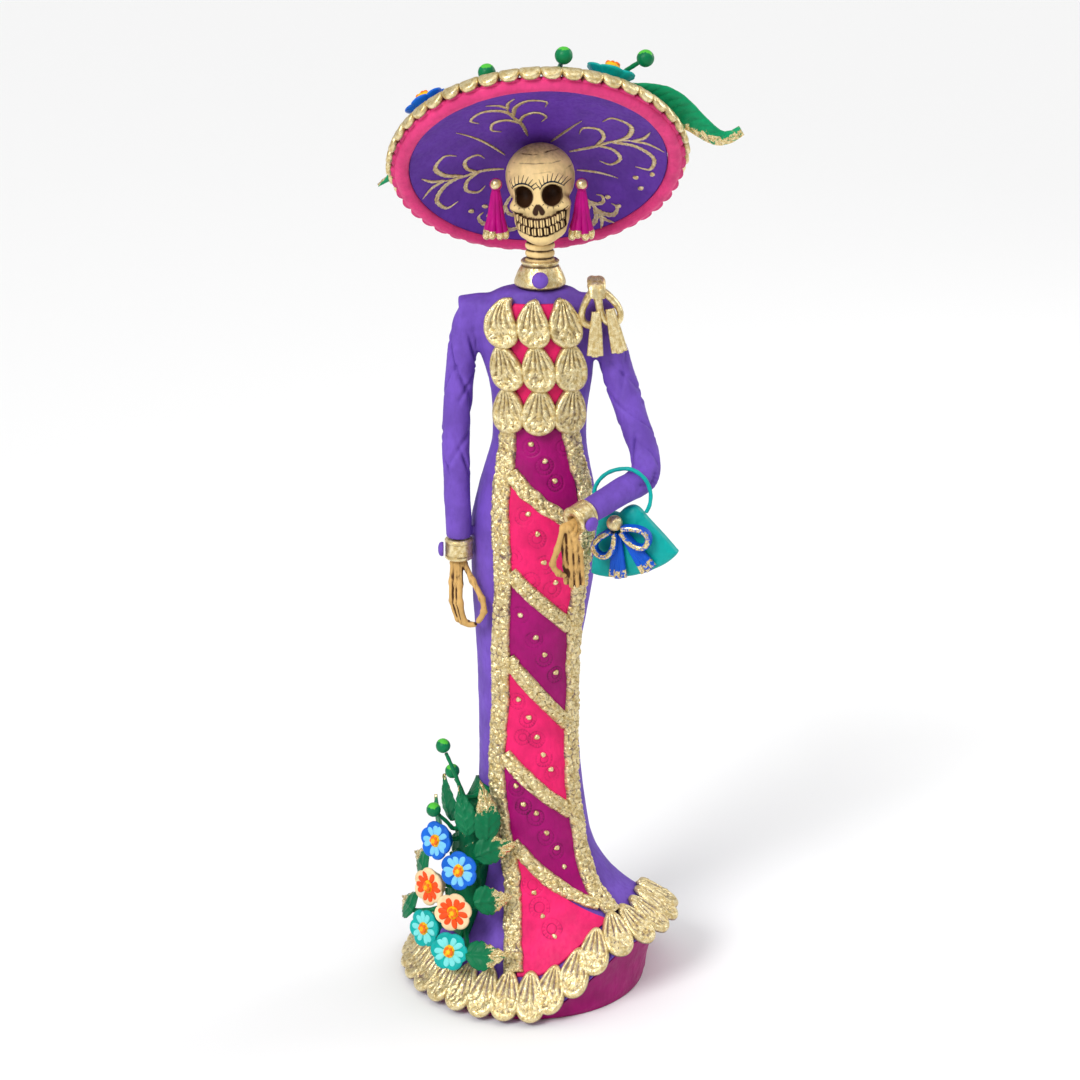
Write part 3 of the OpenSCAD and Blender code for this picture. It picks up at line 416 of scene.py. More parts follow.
# ---------- materials ----------
class Look:
    """A node material with the main shader ready and object coordinates in millimetres."""

    def __init__(self, name):
        self.material = bpy.data.materials.new(name)
        self.material.use_nodes = True
        self.tree = self.material.node_tree
        self.shader = self.tree.nodes["Principled BSDF"]
        place = self.node("ShaderNodeTexCoord")
        scale = self.node("ShaderNodeMapping")
        scale.inputs["Scale"].default_value = (1000, 1000, 1000)
        self.link(place.outputs["Object"], scale.inputs["Vector"])
        self.place = scale.outputs["Vector"]
        self.tone = self.node("ShaderNodeAttribute", attribute_name="tone").outputs["Fac"]

    def node(self, kind, **values):
        n = self.tree.nodes.new(kind)
        for k, v in values.items():
            setattr(n, k, v)
        return n

    def link(self, a, b):
        self.tree.links.new(a, b)

    def noise(self, size, detail=3, rough=0.55, stretch=None):
        n = self.node("ShaderNodeTexNoise")
        n.inputs["Scale"].default_value = 1 / size
        n.inputs["Detail"].default_value = detail
        n.inputs["Roughness"].default_value = rough
        where = self.place
        if stretch:
            m = self.node("ShaderNodeMapping")
            m.inputs["Scale"].default_value = stretch
            self.link(self.place, m.inputs["Vector"])
            where = m.outputs["Vector"]
        self.link(where, n.inputs["Vector"])
        return n.outputs["Fac"]

    def flakes(self, size):
        n = self.node("ShaderNodeTexVoronoi", feature="F1")
        n.inputs["Scale"].default_value = 1 / size
        self.link(self.place, n.inputs["Vector"])
        return n

    def shaped(self, value, lo, hi, a=0.0, b=1.0):
        n = self.node("ShaderNodeMapRange", interpolation_type="SMOOTHSTEP")
        for k, v in zip(("From Min", "From Max", "To Min", "To Max"), (lo, hi, a, b)):
            n.inputs[k].default_value = v
        self.link(value, n.inputs["Value"])
        return n.outputs["Result"]

    def sums(self, operation, a, b):
        n = self.node("ShaderNodeMath", operation=operation)
        for k, v in enumerate((a, b)):
            if isinstance(v, (int, float)):
                n.inputs[k].default_value = v
            else:
                self.link(v, n.inputs[k])
        return n.outputs["Value"]

    def blend(self, factor, a, b):
        n = self.node("ShaderNodeMix", data_type="RGBA")
        for socket, v in zip((n.inputs[0], n.inputs[6], n.inputs[7]), (factor, a, b)):
            if isinstance(v, (int, float)):
                socket.default_value = v
            elif isinstance(v, tuple):
                socket.default_value = (*v, 1)
            else:
                self.link(v, socket)
        return n.outputs[2]

    def raise_by(self, *layers):
        """Bumps in millimetres, one after another."""
        normal = None
        for height, depth in layers:
            n = self.node("ShaderNodeBump")
            n.inputs["Distance"].default_value = depth * MM
            n.inputs["Strength"].default_value = 1
            self.link(height, n.inputs["Height"])
            if normal is not None:
                self.link(normal, n.inputs["Normal"])
            normal = n.outputs["Normal"]
        self.link(normal, self.shader.inputs["Normal"])

    def set(self, **values):
        for k, v in values.items():
            socket = self.shader.inputs[k.replace("_", " ")]
            if isinstance(v, tuple):
                socket.default_value = (*v, 1)
            elif isinstance(v, (int, float)):
                socket.default_value = v
            else:
                self.link(v, socket)
        return self.material


def srgb(r, g, b):
    return tuple((c / 255 / 12.92) if c <= 10 else ((c / 255 + 0.055) / 1.055) ** 2.4 for c in (r, g, b))


def shade(c, k):
    return tuple(min(1.0, v * k) for v in c)


# how much lighter and darker the broad clouds in a paint are
CLOUD = 0.14
# GOLD_DARK is the painted shade that the gold takes in its hollows
GOLD_LIGHT, GOLD_MID, GOLD_DARK = srgb(244, 229, 182), srgb(198, 170, 106), srgb(84, 56, 24)


def paint(name, colour, second=None, level=0.55, shade_and_wash=None, grain=0.09, second_gold=False):
    """Hand-brushed matt paint over paper pulp. tone mixes in the second colour, or a darker colour that is
    painted shade in the hollows and creases, and on the skull also its brown paint.
    """
    m = Look(name)
    patches = m.noise(11, 4, 0.6)
    streaks = m.noise(1.6, 3, 0.6, (1, 1, 0.3))
    speck = m.noise(0.35, 2, 0.5)
    base = m.blend(m.shaped(patches, 0.3, 0.7), shade(colour, 1 - CLOUD), shade(colour, 1 + CLOUD))
    base = m.blend(m.shaped(streaks, 0.42, 0.78, 0, 0.35), base, shade(colour, 0.72))
    base = m.blend(m.shaped(speck, 0.62, 0.8, 0, 0.3), base, shade(colour, 1.35))
    value = m.shaped(streaks, 0.3, 0.7, level - 0.07, level + 0.09)
    if shade_and_wash:
        # painted shade: tone darkens hollows and creases towards the darker colour, which on the skull also
        # lays its brown paint
        shade_and_wash_mask = m.sums("MULTIPLY", m.tone, m.shaped(streaks, 0.2, 0.7, 0.75, 1.1))
        base = m.blend(m.shaped(shade_and_wash_mask, 0.12, 0.85), base, shade_and_wash)
    if second:
        edge = m.sums("ADD", m.tone, m.shaped(m.noise(0.8, 3), 0.2, 0.8, -0.22, 0.22))
        cover = m.shaped(edge, 0.42, 0.58)
        if second_gold:
            cell = m.flakes(0.42)
            glint = m.blend(m.shaped(cell.outputs["Color"], 0.2, 0.9), GOLD_MID, GOLD_LIGHT)
            base = m.blend(cover, base, glint)
            m.set(Metallic=m.sums("MULTIPLY", cover, 0.75))
            value = m.sums("SUBTRACT", value, m.sums("MULTIPLY", cover, 0.2))
        else:
            base = m.blend(cover, base, second)
    m.raise_by((m.noise(4.5, 4, 0.6), grain * 2.2), (streaks, grain), (speck, grain * 0.45))
    return m.set(Base_Color=base, Roughness=value, Specular_IOR_Level=0.2)


def gilt(name, tint=None, crust=1.0):
    """Champagne gold paint; crust is how coarse it is. tone darkens the hollows towards the tint as painted
    shade, and lets the tint show where the gold is thin.
    """
    m = Look(name)
    cell = m.flakes(0.62)
    patches = m.noise(6, 4, 0.6)
    dents = m.noise(1.7, 3, 0.6)
    base = m.blend(m.shaped(dents, 0.3, 0.72), GOLD_MID, GOLD_LIGHT)
    base = m.blend(m.shaped(cell.outputs["Color"], 0.5, 1.0, 0, 0.4 * crust), base, shade(GOLD_LIGHT, 1.15))
    base = m.blend(m.shaped(patches, 0.5, 0.8, 0, 0.35), base, shade(GOLD_MID, 0.7))
    # painted shade in the hollows, and the ground where the gold is thin: tone darkens towards the tint, or
    # GOLD_DARK, and makes those parts less metallic
    dark = m.sums("MULTIPLY", m.tone, m.shaped(m.noise(0.9, 3), 0.25, 0.7, 0.75, 1.15))
    base = m.blend(m.shaped(dark, 0.12, 0.85, 0, 0.92), base, tint or GOLD_DARK)
    m.raise_by((dents, 0.5 * crust), (m.noise(0.7, 2), 0.16 * crust),
               (cell.outputs["Distance"], 0.10 * crust))
    value = m.shaped(dents, 0.2, 0.8, 0.42, 0.24)
    metal = m.shaped(dark, 0.3, 0.9, 0.7, 0.1)
    return m.set(Base_Color=base, Roughness=value, Metallic=metal)


# the darker colours given below are painted shade for creases, stamps and hollows, and on the skull also its
# brown paint
VIOLET = paint("violet_paint", srgb(110, 76, 178), level=0.62, shade_and_wash=srgb(60, 30, 120))
DEEP_VIOLET = paint("deep_violet_paint", srgb(94, 50, 156), level=0.6)
MAGENTA = paint("magenta_paint", srgb(154, 0, 102), level=0.45, shade_and_wash=srgb(90, 0, 60))
HOT_PINK = paint("pink_paint", srgb(228, 30, 104), level=0.55, shade_and_wash=srgb(160, 20, 80))
RIM_PINK = paint("rim_pink_paint", srgb(224, 60, 124), level=0.52, second=GOLD_MID, second_gold=True)
BONE = paint("bone_paint", srgb(232, 202, 142), level=0.5, shade_and_wash=srgb(58, 34, 18), grain=0.06)
HAND_BONE = paint("hand_bone_paint", srgb(206, 164, 98), level=0.55, shade_and_wash=srgb(74, 42, 20), grain=0.06)
GREEN = paint("green_paint", srgb(0, 108, 66), level=0.42, second=GOLD_MID, second_gold=True)
HAT_GREEN = paint("hat_green_paint", srgb(0, 150, 96), level=0.42, second=GOLD_MID, second_gold=True)
# its second colour is a painted highlight on the tops of the buds
BUD_GREEN = paint("bud_green_paint", srgb(0, 118, 70), level=0.38, second=srgb(80, 190, 60))
TURQUOISE = paint("turquoise_paint", srgb(0, 166, 160), level=0.42, second=srgb(120, 216, 214))
BLUE = paint("blue_paint", srgb(14, 98, 204), level=0.4, second=srgb(120, 196, 240))
BOW_BLUE = paint("bow_blue_paint", srgb(12, 84, 196), level=0.4, second=GOLD_MID, second_gold=True)
CREAM = paint("cream_paint", srgb(236, 206, 160), level=0.45, second=srgb(236, 78, 24))
YELLOW = paint("yellow_paint", srgb(250, 182, 14), level=0.4, second=srgb(240, 110, 20))
TASSEL = paint("tassel_paint", srgb(176, 0, 116), level=0.38, second=GOLD_MID, second_gold=True)
LASH = paint("lash_paint", srgb(26, 34, 48), level=0.5)
GOLD = gilt("crusted_gold")
GOLD_VIOLET = gilt("crusted_gold_over_violet", srgb(92, 62, 80))
GOLD_SMOOTH = gilt("smooth_gold", crust=0.4)
SCROLL_GOLD = gilt("scroll_gold", srgb(110, 80, 110), 0.4)


# ---------- gown surface, the same rule as in the CAD part ----------
def turn(a):
    """Angle from the +X side, 0 to 180 either way round."""
    q = np.mod(a, 360)
    return np.where(q > 180, 360 - q, q)


def hem_z(a):
    """Height of the hem, which rises over the train."""
    q = np.clip((np.where(np.mod(a, 360) < 180, 52, 92) - turn(a)) / 52, 0, 1)
    return HEM_Z0 + HEM_RISE * q * q * (3 - 2 * q)


def smooth_in(z, table):
    return (lookup(z - 4, table) + 2 * lookup(z, table) + lookup(z + 4, table)) / 4


def gown(a, z):
    """Point of the cloth at an angle and a height."""
    a, z = np.broadcast_arrays(np.asarray(a, float), np.asarray(z, float))
    low = hem_z(a)
    f = np.where(z >= FLARE_Z, 0, np.clip((FLARE_Z - z) / (FLARE_Z - low), 0, 1) ** 2.6)
    c, s = np.cos(np.radians(a)), np.sin(np.radians(a))
    rx = mix(smooth_in(z, BODY_RX), HEM_R + TRAIN * np.maximum(0, c) ** 2, f)
    ry = mix(smooth_in(z, BODY_RY), HEM_R, f)
    return np.stack([smooth_in(z, BODY_CX) * (1 - f) + rx * c, ry * s, z], -1)


def gown_normal(a, z):
    return unit(np.cross(gown(a + 1, z) - gown(a - 1, z), gown(a, z + 0.5) - gown(a, z - 0.5)))


def lift(a, z, h):
    """Point h off the cloth."""
    return gown(a, z) + np.asarray(h)[..., None] * gown_normal(a, z)


def mm_a(a, z):
    """Millimetres of cloth to a degree round it."""
    return np.linalg.norm(gown(a + 1, z) - gown(a - 1, z), axis=-1) / 2


def mm_z(a, z):
    """Millimetres of cloth to a millimetre of height."""
    return np.linalg.norm(gown(a, z + 1) - gown(a, z - 1), axis=-1) / 2


def near_gown(a, z):
    """Map from millimetres sideways, up and off the cloth at (a, z) to space."""
    return lambda x, y, h: lift(a + x / mm_a(a, z), z + y / mm_z(a, z), h)


# ---------- gown: skirt, bodice and sleeves as one skin ----------
# middle of each sleeve from the shoulder to the wrist, and [point, radius] along it
RIGHT_ARM = [[-15, 0.6, 293.4], [-24.5, 0.3, 291], [-27.6, 0, 281], [-29.6, -0.6, 265], [-31, -1.8, 248],
             [-31.2, -3.6, 236], [-30.9, -6.6, 222], [-30.4, -9.2, 210], [-30.2, -10, 204],
             [-30.2, -10, 200.5]]
LEFT_ARM = [[19, 0.6, 293.4], [26, 0.3, 290.5], [30.6, -1.2, 280], [35.2, -4, 266], [40.2, -8, 251],
            [45, -12.6, 237.5], [44.6, -19.6, 229], [35, -28.4, 225.7], [22.4, -40, 221.3]]
RIGHT_SIZES = [[0, 5], [3, 5.9], [9, 5.9], [15, 5.6], [27, 5.2]]
# square shoulder caps, from the neck outwards
SHOULDERS = [[[-12, 0, 295], [-21, 0, 294.8], [-29.4, -0.2, 293.6]],
             [[18, 0, 295], [26, 0, 294.6], [32.4, -0.4, 293]]]
LEFT_SIZES = [[0, 5], [3, 6.7], [9, 6.4], [15, 6], [19, 5.8], [24, 5.2]]


def arm_path(points, sizes):
    p = curve(points, 9)
    return p, lookup(np.arange(len(p)) / 3, sizes)


def arm_folds(v, path, turns, first, last, lean):
    """Depth of the slanting creases pressed into a sleeve at each point."""
    d = np.linalg.norm(v[:, None] - path[None], axis=2)
    k = d.argmin(1)
    s = np.concatenate([[0], np.cumsum(np.linalg.norm(np.diff(path, axis=0), axis=1))])[k]
    t = unit(np.gradient(path, axis=0))[k]
    side = unit(np.cross(t, [0, -1, 0.001]))
    r = v - path[k]
    q = np.arctan2((r * side).sum(1), (r * np.cross(side, t)).sum(1))
    s = s + (r * t).sum(1)
    near = ramp(9.0 - d.min(1), 0, 1.5)
    span = ramp(s, first, first + 8) * ramp(last - s, 0, 8)
    depth = 0
    for pitch, wind, part in ((lean, turns, 1.0), (lean * 0.8, -turns, 0.6)):
        phase = (s / pitch + wind * q / (2 * math.pi) + 0.3 * noise(v, 20, 5)) % 1.0
        valley = bump(phase, 0.5, 0.09)
        ridge = bump(phase, 0.33, 0.11) + bump(phase, 0.67, 0.11)
        depth = depth + part * (0.25 * ridge - 1.0 * valley) * ramp(noise(v, 12, 8 + wind), -0.5, 0.0)
    return near * span * depth


def build_gown():
    s = Shape()
    a = np.arange(0, 360, 1.5)
    low = hem_z(a)
    rows = [mix(low, FLARE_Z, i / 30) for i in range(30)]
    rows += [np.full_like(a, z)
             for z in np.concatenate([np.arange(FLARE_Z, 290, 3.0), np.arange(290, 303, 0.8)])]
    outer = np.stack([lift(a, z, 0 * a) for z in rows])
    rows = [mix(low, 62.0, i / 8) for i in range(8, -1, -1)]
    inner = np.stack([lift(a, z, 0 * a - WALL) for z in rows])
    s.grid(np.concatenate([inner, outer]), around=True, ends=True)
    for points, sizes in ((RIGHT_ARM, RIGHT_SIZES), (LEFT_ARM, LEFT_SIZES)):
        p, r = arm_path(points, sizes)
        s.tube(p, r, 40)
    for cap in SHOULDERS:
        s.tube(np.array(cap), 5.6, 32)
    mesh = remeshed(s, 0.8, "gown")
    relax(mesh, 6)
    v, n = coords(mesh), normals(mesh)
    d = 0.26 * rough(v, 13, 1) + 0.09 * rough(v, 2.6, 4) * ramp(v[:, 2], 0, 60)
    right, _ = arm_path(RIGHT_ARM, RIGHT_SIZES)
    left, _ = arm_path(LEFT_ARM, LEFT_SIZES)
    folds = np.where(v[:, 0] < -23, arm_folds(v, right, 3, 14, 80, 24), 0)
    folds = folds + np.where(v[:, 0] > 27, arm_folds(v, left, -3, 10, 88, 24), 0)
    set_coords(mesh, v + (d + folds)[:, None] * n)
    # painted shade in the valleys of the sleeve creases
    set_tone(mesh, np.clip(-0.6 * folds, 0, 0.5))
    piece("gown", mesh, VIOLET, ["skirt", "bodice", "right_sleeve", "left_sleeve"])


def build_underskirt():
    s = Shape()
    a = np.arange(0, 360, 1.0)
    outer, inner = [], []
    for t in np.linspace(0, 1, 34):
        k = t * t
        c, q = np.cos(np.radians(a)), np.sin(np.radians(a))
        rx = mix(49, HEM_R + TRAIN * np.maximum(0, c) ** 2 - 1.8, k)
        ry = mix(50.5, HEM_R - 1.8, k)
        z = mix(0.3, hem_z(a) - 2.0, t)
        p = np.stack([rx * c, ry * q, z], -1)
        flute = 0.45 * np.sin(np.radians(a * 11 + 30 * noise(p, 30, 3))) * t * ramp(hem_z(a), 8, 20)
        d = flute + 0.4 * rough(p, 9, 6) + 0.1 * rough(p, 2, 9)
        d = d * ramp(t, 0, 0.12)
        foot = 0.7 * ramp(t, 0.14, 0.0)
        outer.append(p + (d - foot)[:, None] * np.stack([c, q, 0 * c], -1))
        inner.append(p - 2.2 * np.stack([c, q, 0 * c], -1))
    s.grid(np.stack(outer + inner[::-1]), around=True, closed=True)
    piece("underskirt_ring", s, MAGENTA, ["underskirt"])


# ---------- coloured front fields ----------
# [angle, height] down the two edge welts
RIGHT_EDGE = [[-129.6, 245], [-128.4, 234], [-126.5, 222], [-121, 207], [-118, 192], [-118, 176],
              [-119.4, 160], [-120, 145], [-120.4, 131], [-124, 116], [-127, 100], [-125, 86], [-120.6, 73],
              [-114, 62], [-109, 51], [-106.6, 41], [-105, 32], [-102.6, 24.5]]
LEFT_EDGE = [[-50.7, 245], [-44, 234], [-38, 222], [-42, 200], [-45, 182], [-41.6, 165], [-35.4, 145],
             [-31.4, 128], [-36, 114], [-39.4, 98], [-40.4, 84], [-39, 71], [-38.4, 61], [-41, 50],
             [-40.6, 42.5]]
# heights of each diagonal welt at the right and left edge
BANDS = [[231, 206], [190.5, 163], [153, 118.5], [109.5, 79], [70, 39.5]]
RIGHT_Z = [[z, a] for a, z in RIGHT_EDGE][::-1]
LEFT_Z = [[z, a] for a, z in LEFT_EDGE][::-1]
# spacing of the net that models a field
FIELD_STEP = 0.42
# round double-ring stamps pressed into the fields, as [angle, height, radius]
STAMPS = [[-100, 240.5, 3.6], [-83, 233, 3.6], [-71, 226, 3.4], [-60, 240, 3.4], [-101, 213, 3.8],
          [-88, 204, 3.8], [-80, 193, 3.8], [-72, 182, 3.8], [-92, 186, 3.6], [-62, 196, 3.6],
          [-62, 171, 3.4], [-108, 196, 3.4], [-100, 171, 3.6], [-85, 160, 3.6], [-73, 151, 3.6],
          [-59, 143, 3.6], [-101, 132, 3.6], [-89, 124, 3.6], [-80, 115, 3.6], [-73, 106, 3.6],
          [-65, 99, 3.4], [-96, 116, 3.4], [-105, 93, 3.6], [-98, 85, 3.6], [-86, 80, 3.6], [-77, 71, 3.6],
          [-66, 64, 3.4], [-90, 50, 4.4], [-84, 41, 4.4], [-76, 33, 4.2]]


def pressed(p):
    """Depth of the stamps at points on a field."""
    d = 0.05 * rough(p, 3.2, 21) + 0.12 * rough(p, 8, 22)
    for a, z, r in STAMPS:
        c = lift(np.float64(a), np.float64(z), np.float64(GAP + PANEL_T))
        v = p - c
        q = np.linalg.norm(v, axis=-1)
        if q.min() > r + 2:
            continue
        q = q + 0.3 * noise(p, 2.6, 17)
        t = np.arctan2(v[..., 2], v[..., 0])
        worn = 0.55 + 0.45 * ramp(noise(p, 3.4, 19), -0.5, 0.4)
        d = d - worn * (0.36 * bump(q, r * 0.5, 0.26) + 0.3 * bump(q, r, 0.26))
        d = d - 0.26 * worn * bump(q, r * 0.8, r * 0.17) * (0.5 + 0.5 * np.cos(17 * t + 2 * a))
    return d


def hem_line(a):
    """Height on the gown where the roots of the hem petals end."""
    return mix(hem_z(a), FLARE_Z, 0.155)


def field(s, low_left, low_right, top_right, top_left, low=GAP, to_hem=False):
    """Thin sheet between four [angle, height] corners; to_hem carries its lower edge down to the petals."""
    bl, br, tr, tl = (np.array(q, float) for q in (low_left, low_right, top_right, top_left))
    reach = max(np.linalg.norm(lift(*q, 0.0) - lift(*w, 0.0)) for q, w in ((bl, br), (tl, tr)))
    tall = max(np.linalg.norm(lift(*q, 0.0) - lift(*w, 0.0)) for q, w in ((bl, tl), (br, tr)))
    u = np.linspace(0, 1, max(8, int(reach / FIELD_STEP)))[None, :, None]
    w = np.linspace(0, 1, max(8, int(tall / FIELD_STEP)))[:, None, None]
    q = mix(mix(bl, br, u), mix(tl, tr, u), w)
    if to_hem:
        q[..., 1] += ((hem_line(q[:1, :, 0]) - q[:1, :, 1]) * (1 - w[..., 0]))
    top = lift(q[..., 0], q[..., 1], np.full(q.shape[:2], GAP + PANEL_T))
    edge = np.minimum(np.minimum(u, 1 - u) * reach, np.minimum(w, 1 - w) * tall)[..., 0]
    d = pressed(top) - 0.4 * (1 - ramp(edge, 0, 0.8))
    n = gown_normal(q[..., 0], q[..., 1])
    top = top + np.clip(d, -0.75, 0.4)[..., None] * n
    bottom = lift(q[..., 0], q[..., 1], np.full(q.shape[:2], low))
    # painted shade in the stamps and along the sunken edges of the field
    dark = np.clip(-d * 1.9, 0, 1)
    s.grid(np.concatenate([top, bottom[:, ::-1]], 1), around=True,
           tone=np.concatenate([dark, 0 * dark], 1))
    for row in (0, -1):
        s.grid(np.stack([top[row], bottom[row]]))


def right_at(z):
    return lookup(z, RIGHT_Z) + 3


def left_at(z):
    return lookup(z, LEFT_Z) - 3


def band_field(s, top_r, top_l, low_r, low_l):
    field(s, [right_at(low_r), low_r], [left_at(low_l), low_l], [left_at(top_l), top_l],
          [right_at(top_r), top_r])


def build_fields():
    b = BANDS
    s = Shape()
    band_field(s, 248.4, 248.4, b[0][0] + 1, b[0][1] + 1)
    band_field(s, b[1][0] - 1, b[1][1] - 1, b[2][0] + 1, b[2][1] + 1)
    band_field(s, b[3][0] - 1, b[3][1] - 1, b[4][0] + 1, b[4][1] + 1)
    piece("magenta_fields", s, MAGENTA, ["panels_magenta"])
    s = Shape()
    band_field(s, b[0][0] - 1, b[0][1] - 1, b[1][0] + 1, b[1][1] + 1)
    band_field(s, b[2][0] - 1, b[2][1] - 1, b[3][0] + 1, b[3][1] + 1)
    field(s, [-99, 18], [-45, 32], [-45.4, 36.6], [right_at(67.5), 67.5], 0.4, to_hem=True)
    piece("pink_fields", s, HOT_PINK, ["panels_pink"])
    s = Shape()
    field(s, [-122, 249.5], [-56, 249.5], [-66, 298], [-110, 298], 0.4)
    piece("chest_field", s, HOT_PINK, ["chest_panel"])


# [angle, height] of the gold dots
DOTS = [[-100, 242], [-83, 235], [-72, 227], [-97, 214], [-88, 206], [-82, 194], [-70, 185], [-100, 171],
        [-84, 161], [-73.5, 153], [-59, 144], [-99.5, 133], [-88, 125], [-80, 116], [-74, 108], [-66.5, 101],
        [-105, 94], [-98, 86], [-85, 82], [-76, 73], [-66, 65.6], [-60, 57], [-89, 47], [-82, 37.6],
        [-75, 30.5]]


def dome(s, to_world, r, h, seed, rings=7, steps=22, lumps=0.18, tone=0.0):
    """Small paint blob with an uneven outline."""
    q = np.linspace(0, 2 * math.pi, steps, endpoint=False)
    k = np.sin(np.linspace(0, 1, rings) * math.pi / 2)[::-1]
    wave = 1 + lumps * np.interp(q, np.linspace(0, 2 * math.pi, 8), np.sin(seed * 3.7 + np.arange(8) * 2.4)
                                 * (np.arange(8) % 7 > 0))
    x, y = k[:, None] * r * wave * np.cos(q), k[:, None] * r * wave * np.sin(q)
    z = h * np.sqrt(np.clip(1 - k ** 2, 0, 1))[:, None] + 0 * x
    base = np.stack([x[0], y[0], z[0] - 0.5], -1)[None]
    p = np.concatenate([base, np.stack([x, y, z], -1)])
    s.grid(to_world(p[..., 0], p[..., 1], p[..., 2]), around=True, ends=True, tone=tone)


def build_dots():
    s = Shape()
    for i, (a, z) in enumerate(DOTS):
        here = near_gown(a, z)
        dome(s, lambda x, y, h: here(x, y, h + GAP + PANEL_T + 0.1), 1.1, 0.75, i)
    piece("gold_dots", s, GOLD, ["panel_dots"])


# ---------- gilded welts ----------
def welt(s, path, width, height, seed, tint=0.0):
    """Crusty raised trim that follows [angle, height] points over the gown."""
    p = curve(path, 8)
    xyz = gown(p[:, 0], p[:, 1])
    d = np.concatenate([[0], np.cumsum(np.linalg.norm(np.diff(xyz, axis=0), axis=1))])
    t = np.linspace(0, d[-1], int(d[-1] / 0.42))
    a, z = np.interp(t, d, p[:, 0]), np.interp(t, d, p[:, 1])
    da, dz = np.gradient(a) * mm_a(a, z), np.gradient(z) * mm_z(a, z)
    n = np.hypot(da, dz)
    da, dz = da / n, dz / n
    across = np.linspace(-1, 1, 27)
    wave = 1 + 0.2 * rough(np.stack([t, 0 * t, 0 * t + seed], -1), 5, seed)
    wavy = np.stack([wave, np.roll(wave, 9)], 0)
    half = width / 2 * np.where(across[None] < 0, wavy[0][:, None], wavy[1][:, None])
    x = across * half
    qa = a[:, None] - dz[:, None] * x / mm_a(a, z)[:, None]
    qz = z[:, None] + da[:, None] * x / mm_z(a, z)[:, None]
    flat = lift(qa, qz, np.full(qa.shape, GAP + PANEL_T))
    crust = rosettes(flat, 3.1, seed)
    body = np.clip(1 - np.abs(across) ** 5, 0, 1) ** 0.5
    h = height * body * (0.55 + 0.6 * crust) + 0.22 * rough(flat, 4, seed + 3) * body
    top = lift(qa, qz, GAP + PANEL_T + 0.12 + np.maximum(h, 0))
    base = lift(qa, qz, np.full(qa.shape, GAP + PANEL_T))
    # painted shade between the rosettes, along the flanks and over the underside; tint lets the violet ground
    # show through in patches
    dark = np.clip(0.85 - 1.9 * crust, 0, 1) + 0.3 * (1 - body)
    dark = np.clip(dark + tint * ramp(rough(flat, 9, seed + 7), 0.05, 0.5), 0, 1)
    s.grid(np.concatenate([top, base[:, ::-1]], 1), around=True,
           tone=np.concatenate([dark, dark * 0 + 1], 1), ends=True)


def build_welts():
    s = Shape()
    welt(s, [[-130, 250]] + RIGHT_EDGE + [[-101, 17]], TRIM_W, TRIM_H, 31, 0.3)
    piece("welt_right", s, GOLD_VIOLET, ["trim_right"])
    s = Shape()
    welt(s, [[-53, 250]] + LEFT_EDGE + [[-39.6, 37.4]], TRIM_W, TRIM_H, 41, 0.1)
    piece("welt_left", s, GOLD_VIOLET, ["trim_left"])
    s = Shape()
    for i, b in enumerate(BANDS):
        h, k = mix(b[0], b[1], 0.05), mix(b[0], b[1], 0.95)
        a0 = lookup(h, RIGHT_Z) + TRIM_W * 0.4 / mm_a(lookup(b[0], RIGHT_Z), h)
        a1 = lookup(k, LEFT_Z) - TRIM_W * 0.4 / mm_a(lookup(b[1], LEFT_Z), k)
        t = np.linspace(0, 1, 9)
        path = np.stack([mix(a0, a1, t), mix(h, k, t) - 1.2 * np.sin(math.pi * t)], 1)
        welt(s, path, 6.4, TRIM_H - 0.3, 51 + i)
    piece("welts_diagonal", s, GOLD, ["trim_diagonals"])


# ---------- gilded petals ----------
def petal(s, to_world, w, l, t, seed, ridges=5, base=-0.4):
    """Plump petal, narrow root at +Y: raised lip, ridges fanning from the root, beads near the round end."""
    q = np.linspace(0, 2 * math.pi, 72, endpoint=False)
    k = np.array([1, 1, 0.985, 0.95, 0.9, 0.84, 0.78, 0.71, 0.63, 0.54, 0.45, 0.35, 0.25, 0.15, 0.06])
    up = np.array([0, 0.35, 0.62, 0.83, 0.96, 1, 0.97, 0.88, 0.8, 0.76, 0.76, 0.78, 0.8, 0.82, 0.83])
    x = -w / 2 * k[:, None] * np.sin(q) * (1 - 0.3 * np.cos(q)) / 1.04
    y = l / 2 * k[:, None] * np.cos(q)
    p = np.stack([x, y, 0 * x + seed * 37.7], -1)
    inner = ramp(0.9 - k, 0, 0.16)[:, None]
    fan = np.arctan2(x, l * 0.62 - y)
    root = ramp(y, -0.22 * l, 0.05 * l)
    lines = np.cos(fan * ridges * 6.2) * 0.5 + 0.5
    crumbs = beads(p, 1.9, seed)
    relief = inner * (root * 0.8 * (lines - 0.35) + (1 - root) * 0.95 * (crumbs - 0.25))
    z = base + (t - base) * up[:, None] + relief * 0.95 + 0.1 * rough(p, 2.2, seed + 2) * (up[:, None] > 0.3)
    # painted shade in the grooves between the ridges, round the beads and along the low flanks
    dark = inner * np.clip(root * (1 - lines) ** 2 * 0.85 + (1 - root) * (1 - 2.4 * crumbs), 0, 1)
    dark = np.clip(dark + 0.75 * (1 - ramp(up, 0.1, 0.6))[:, None], 0, 1)
    s.grid(to_world(x, y, z), around=True, ends=True, tone=dark)


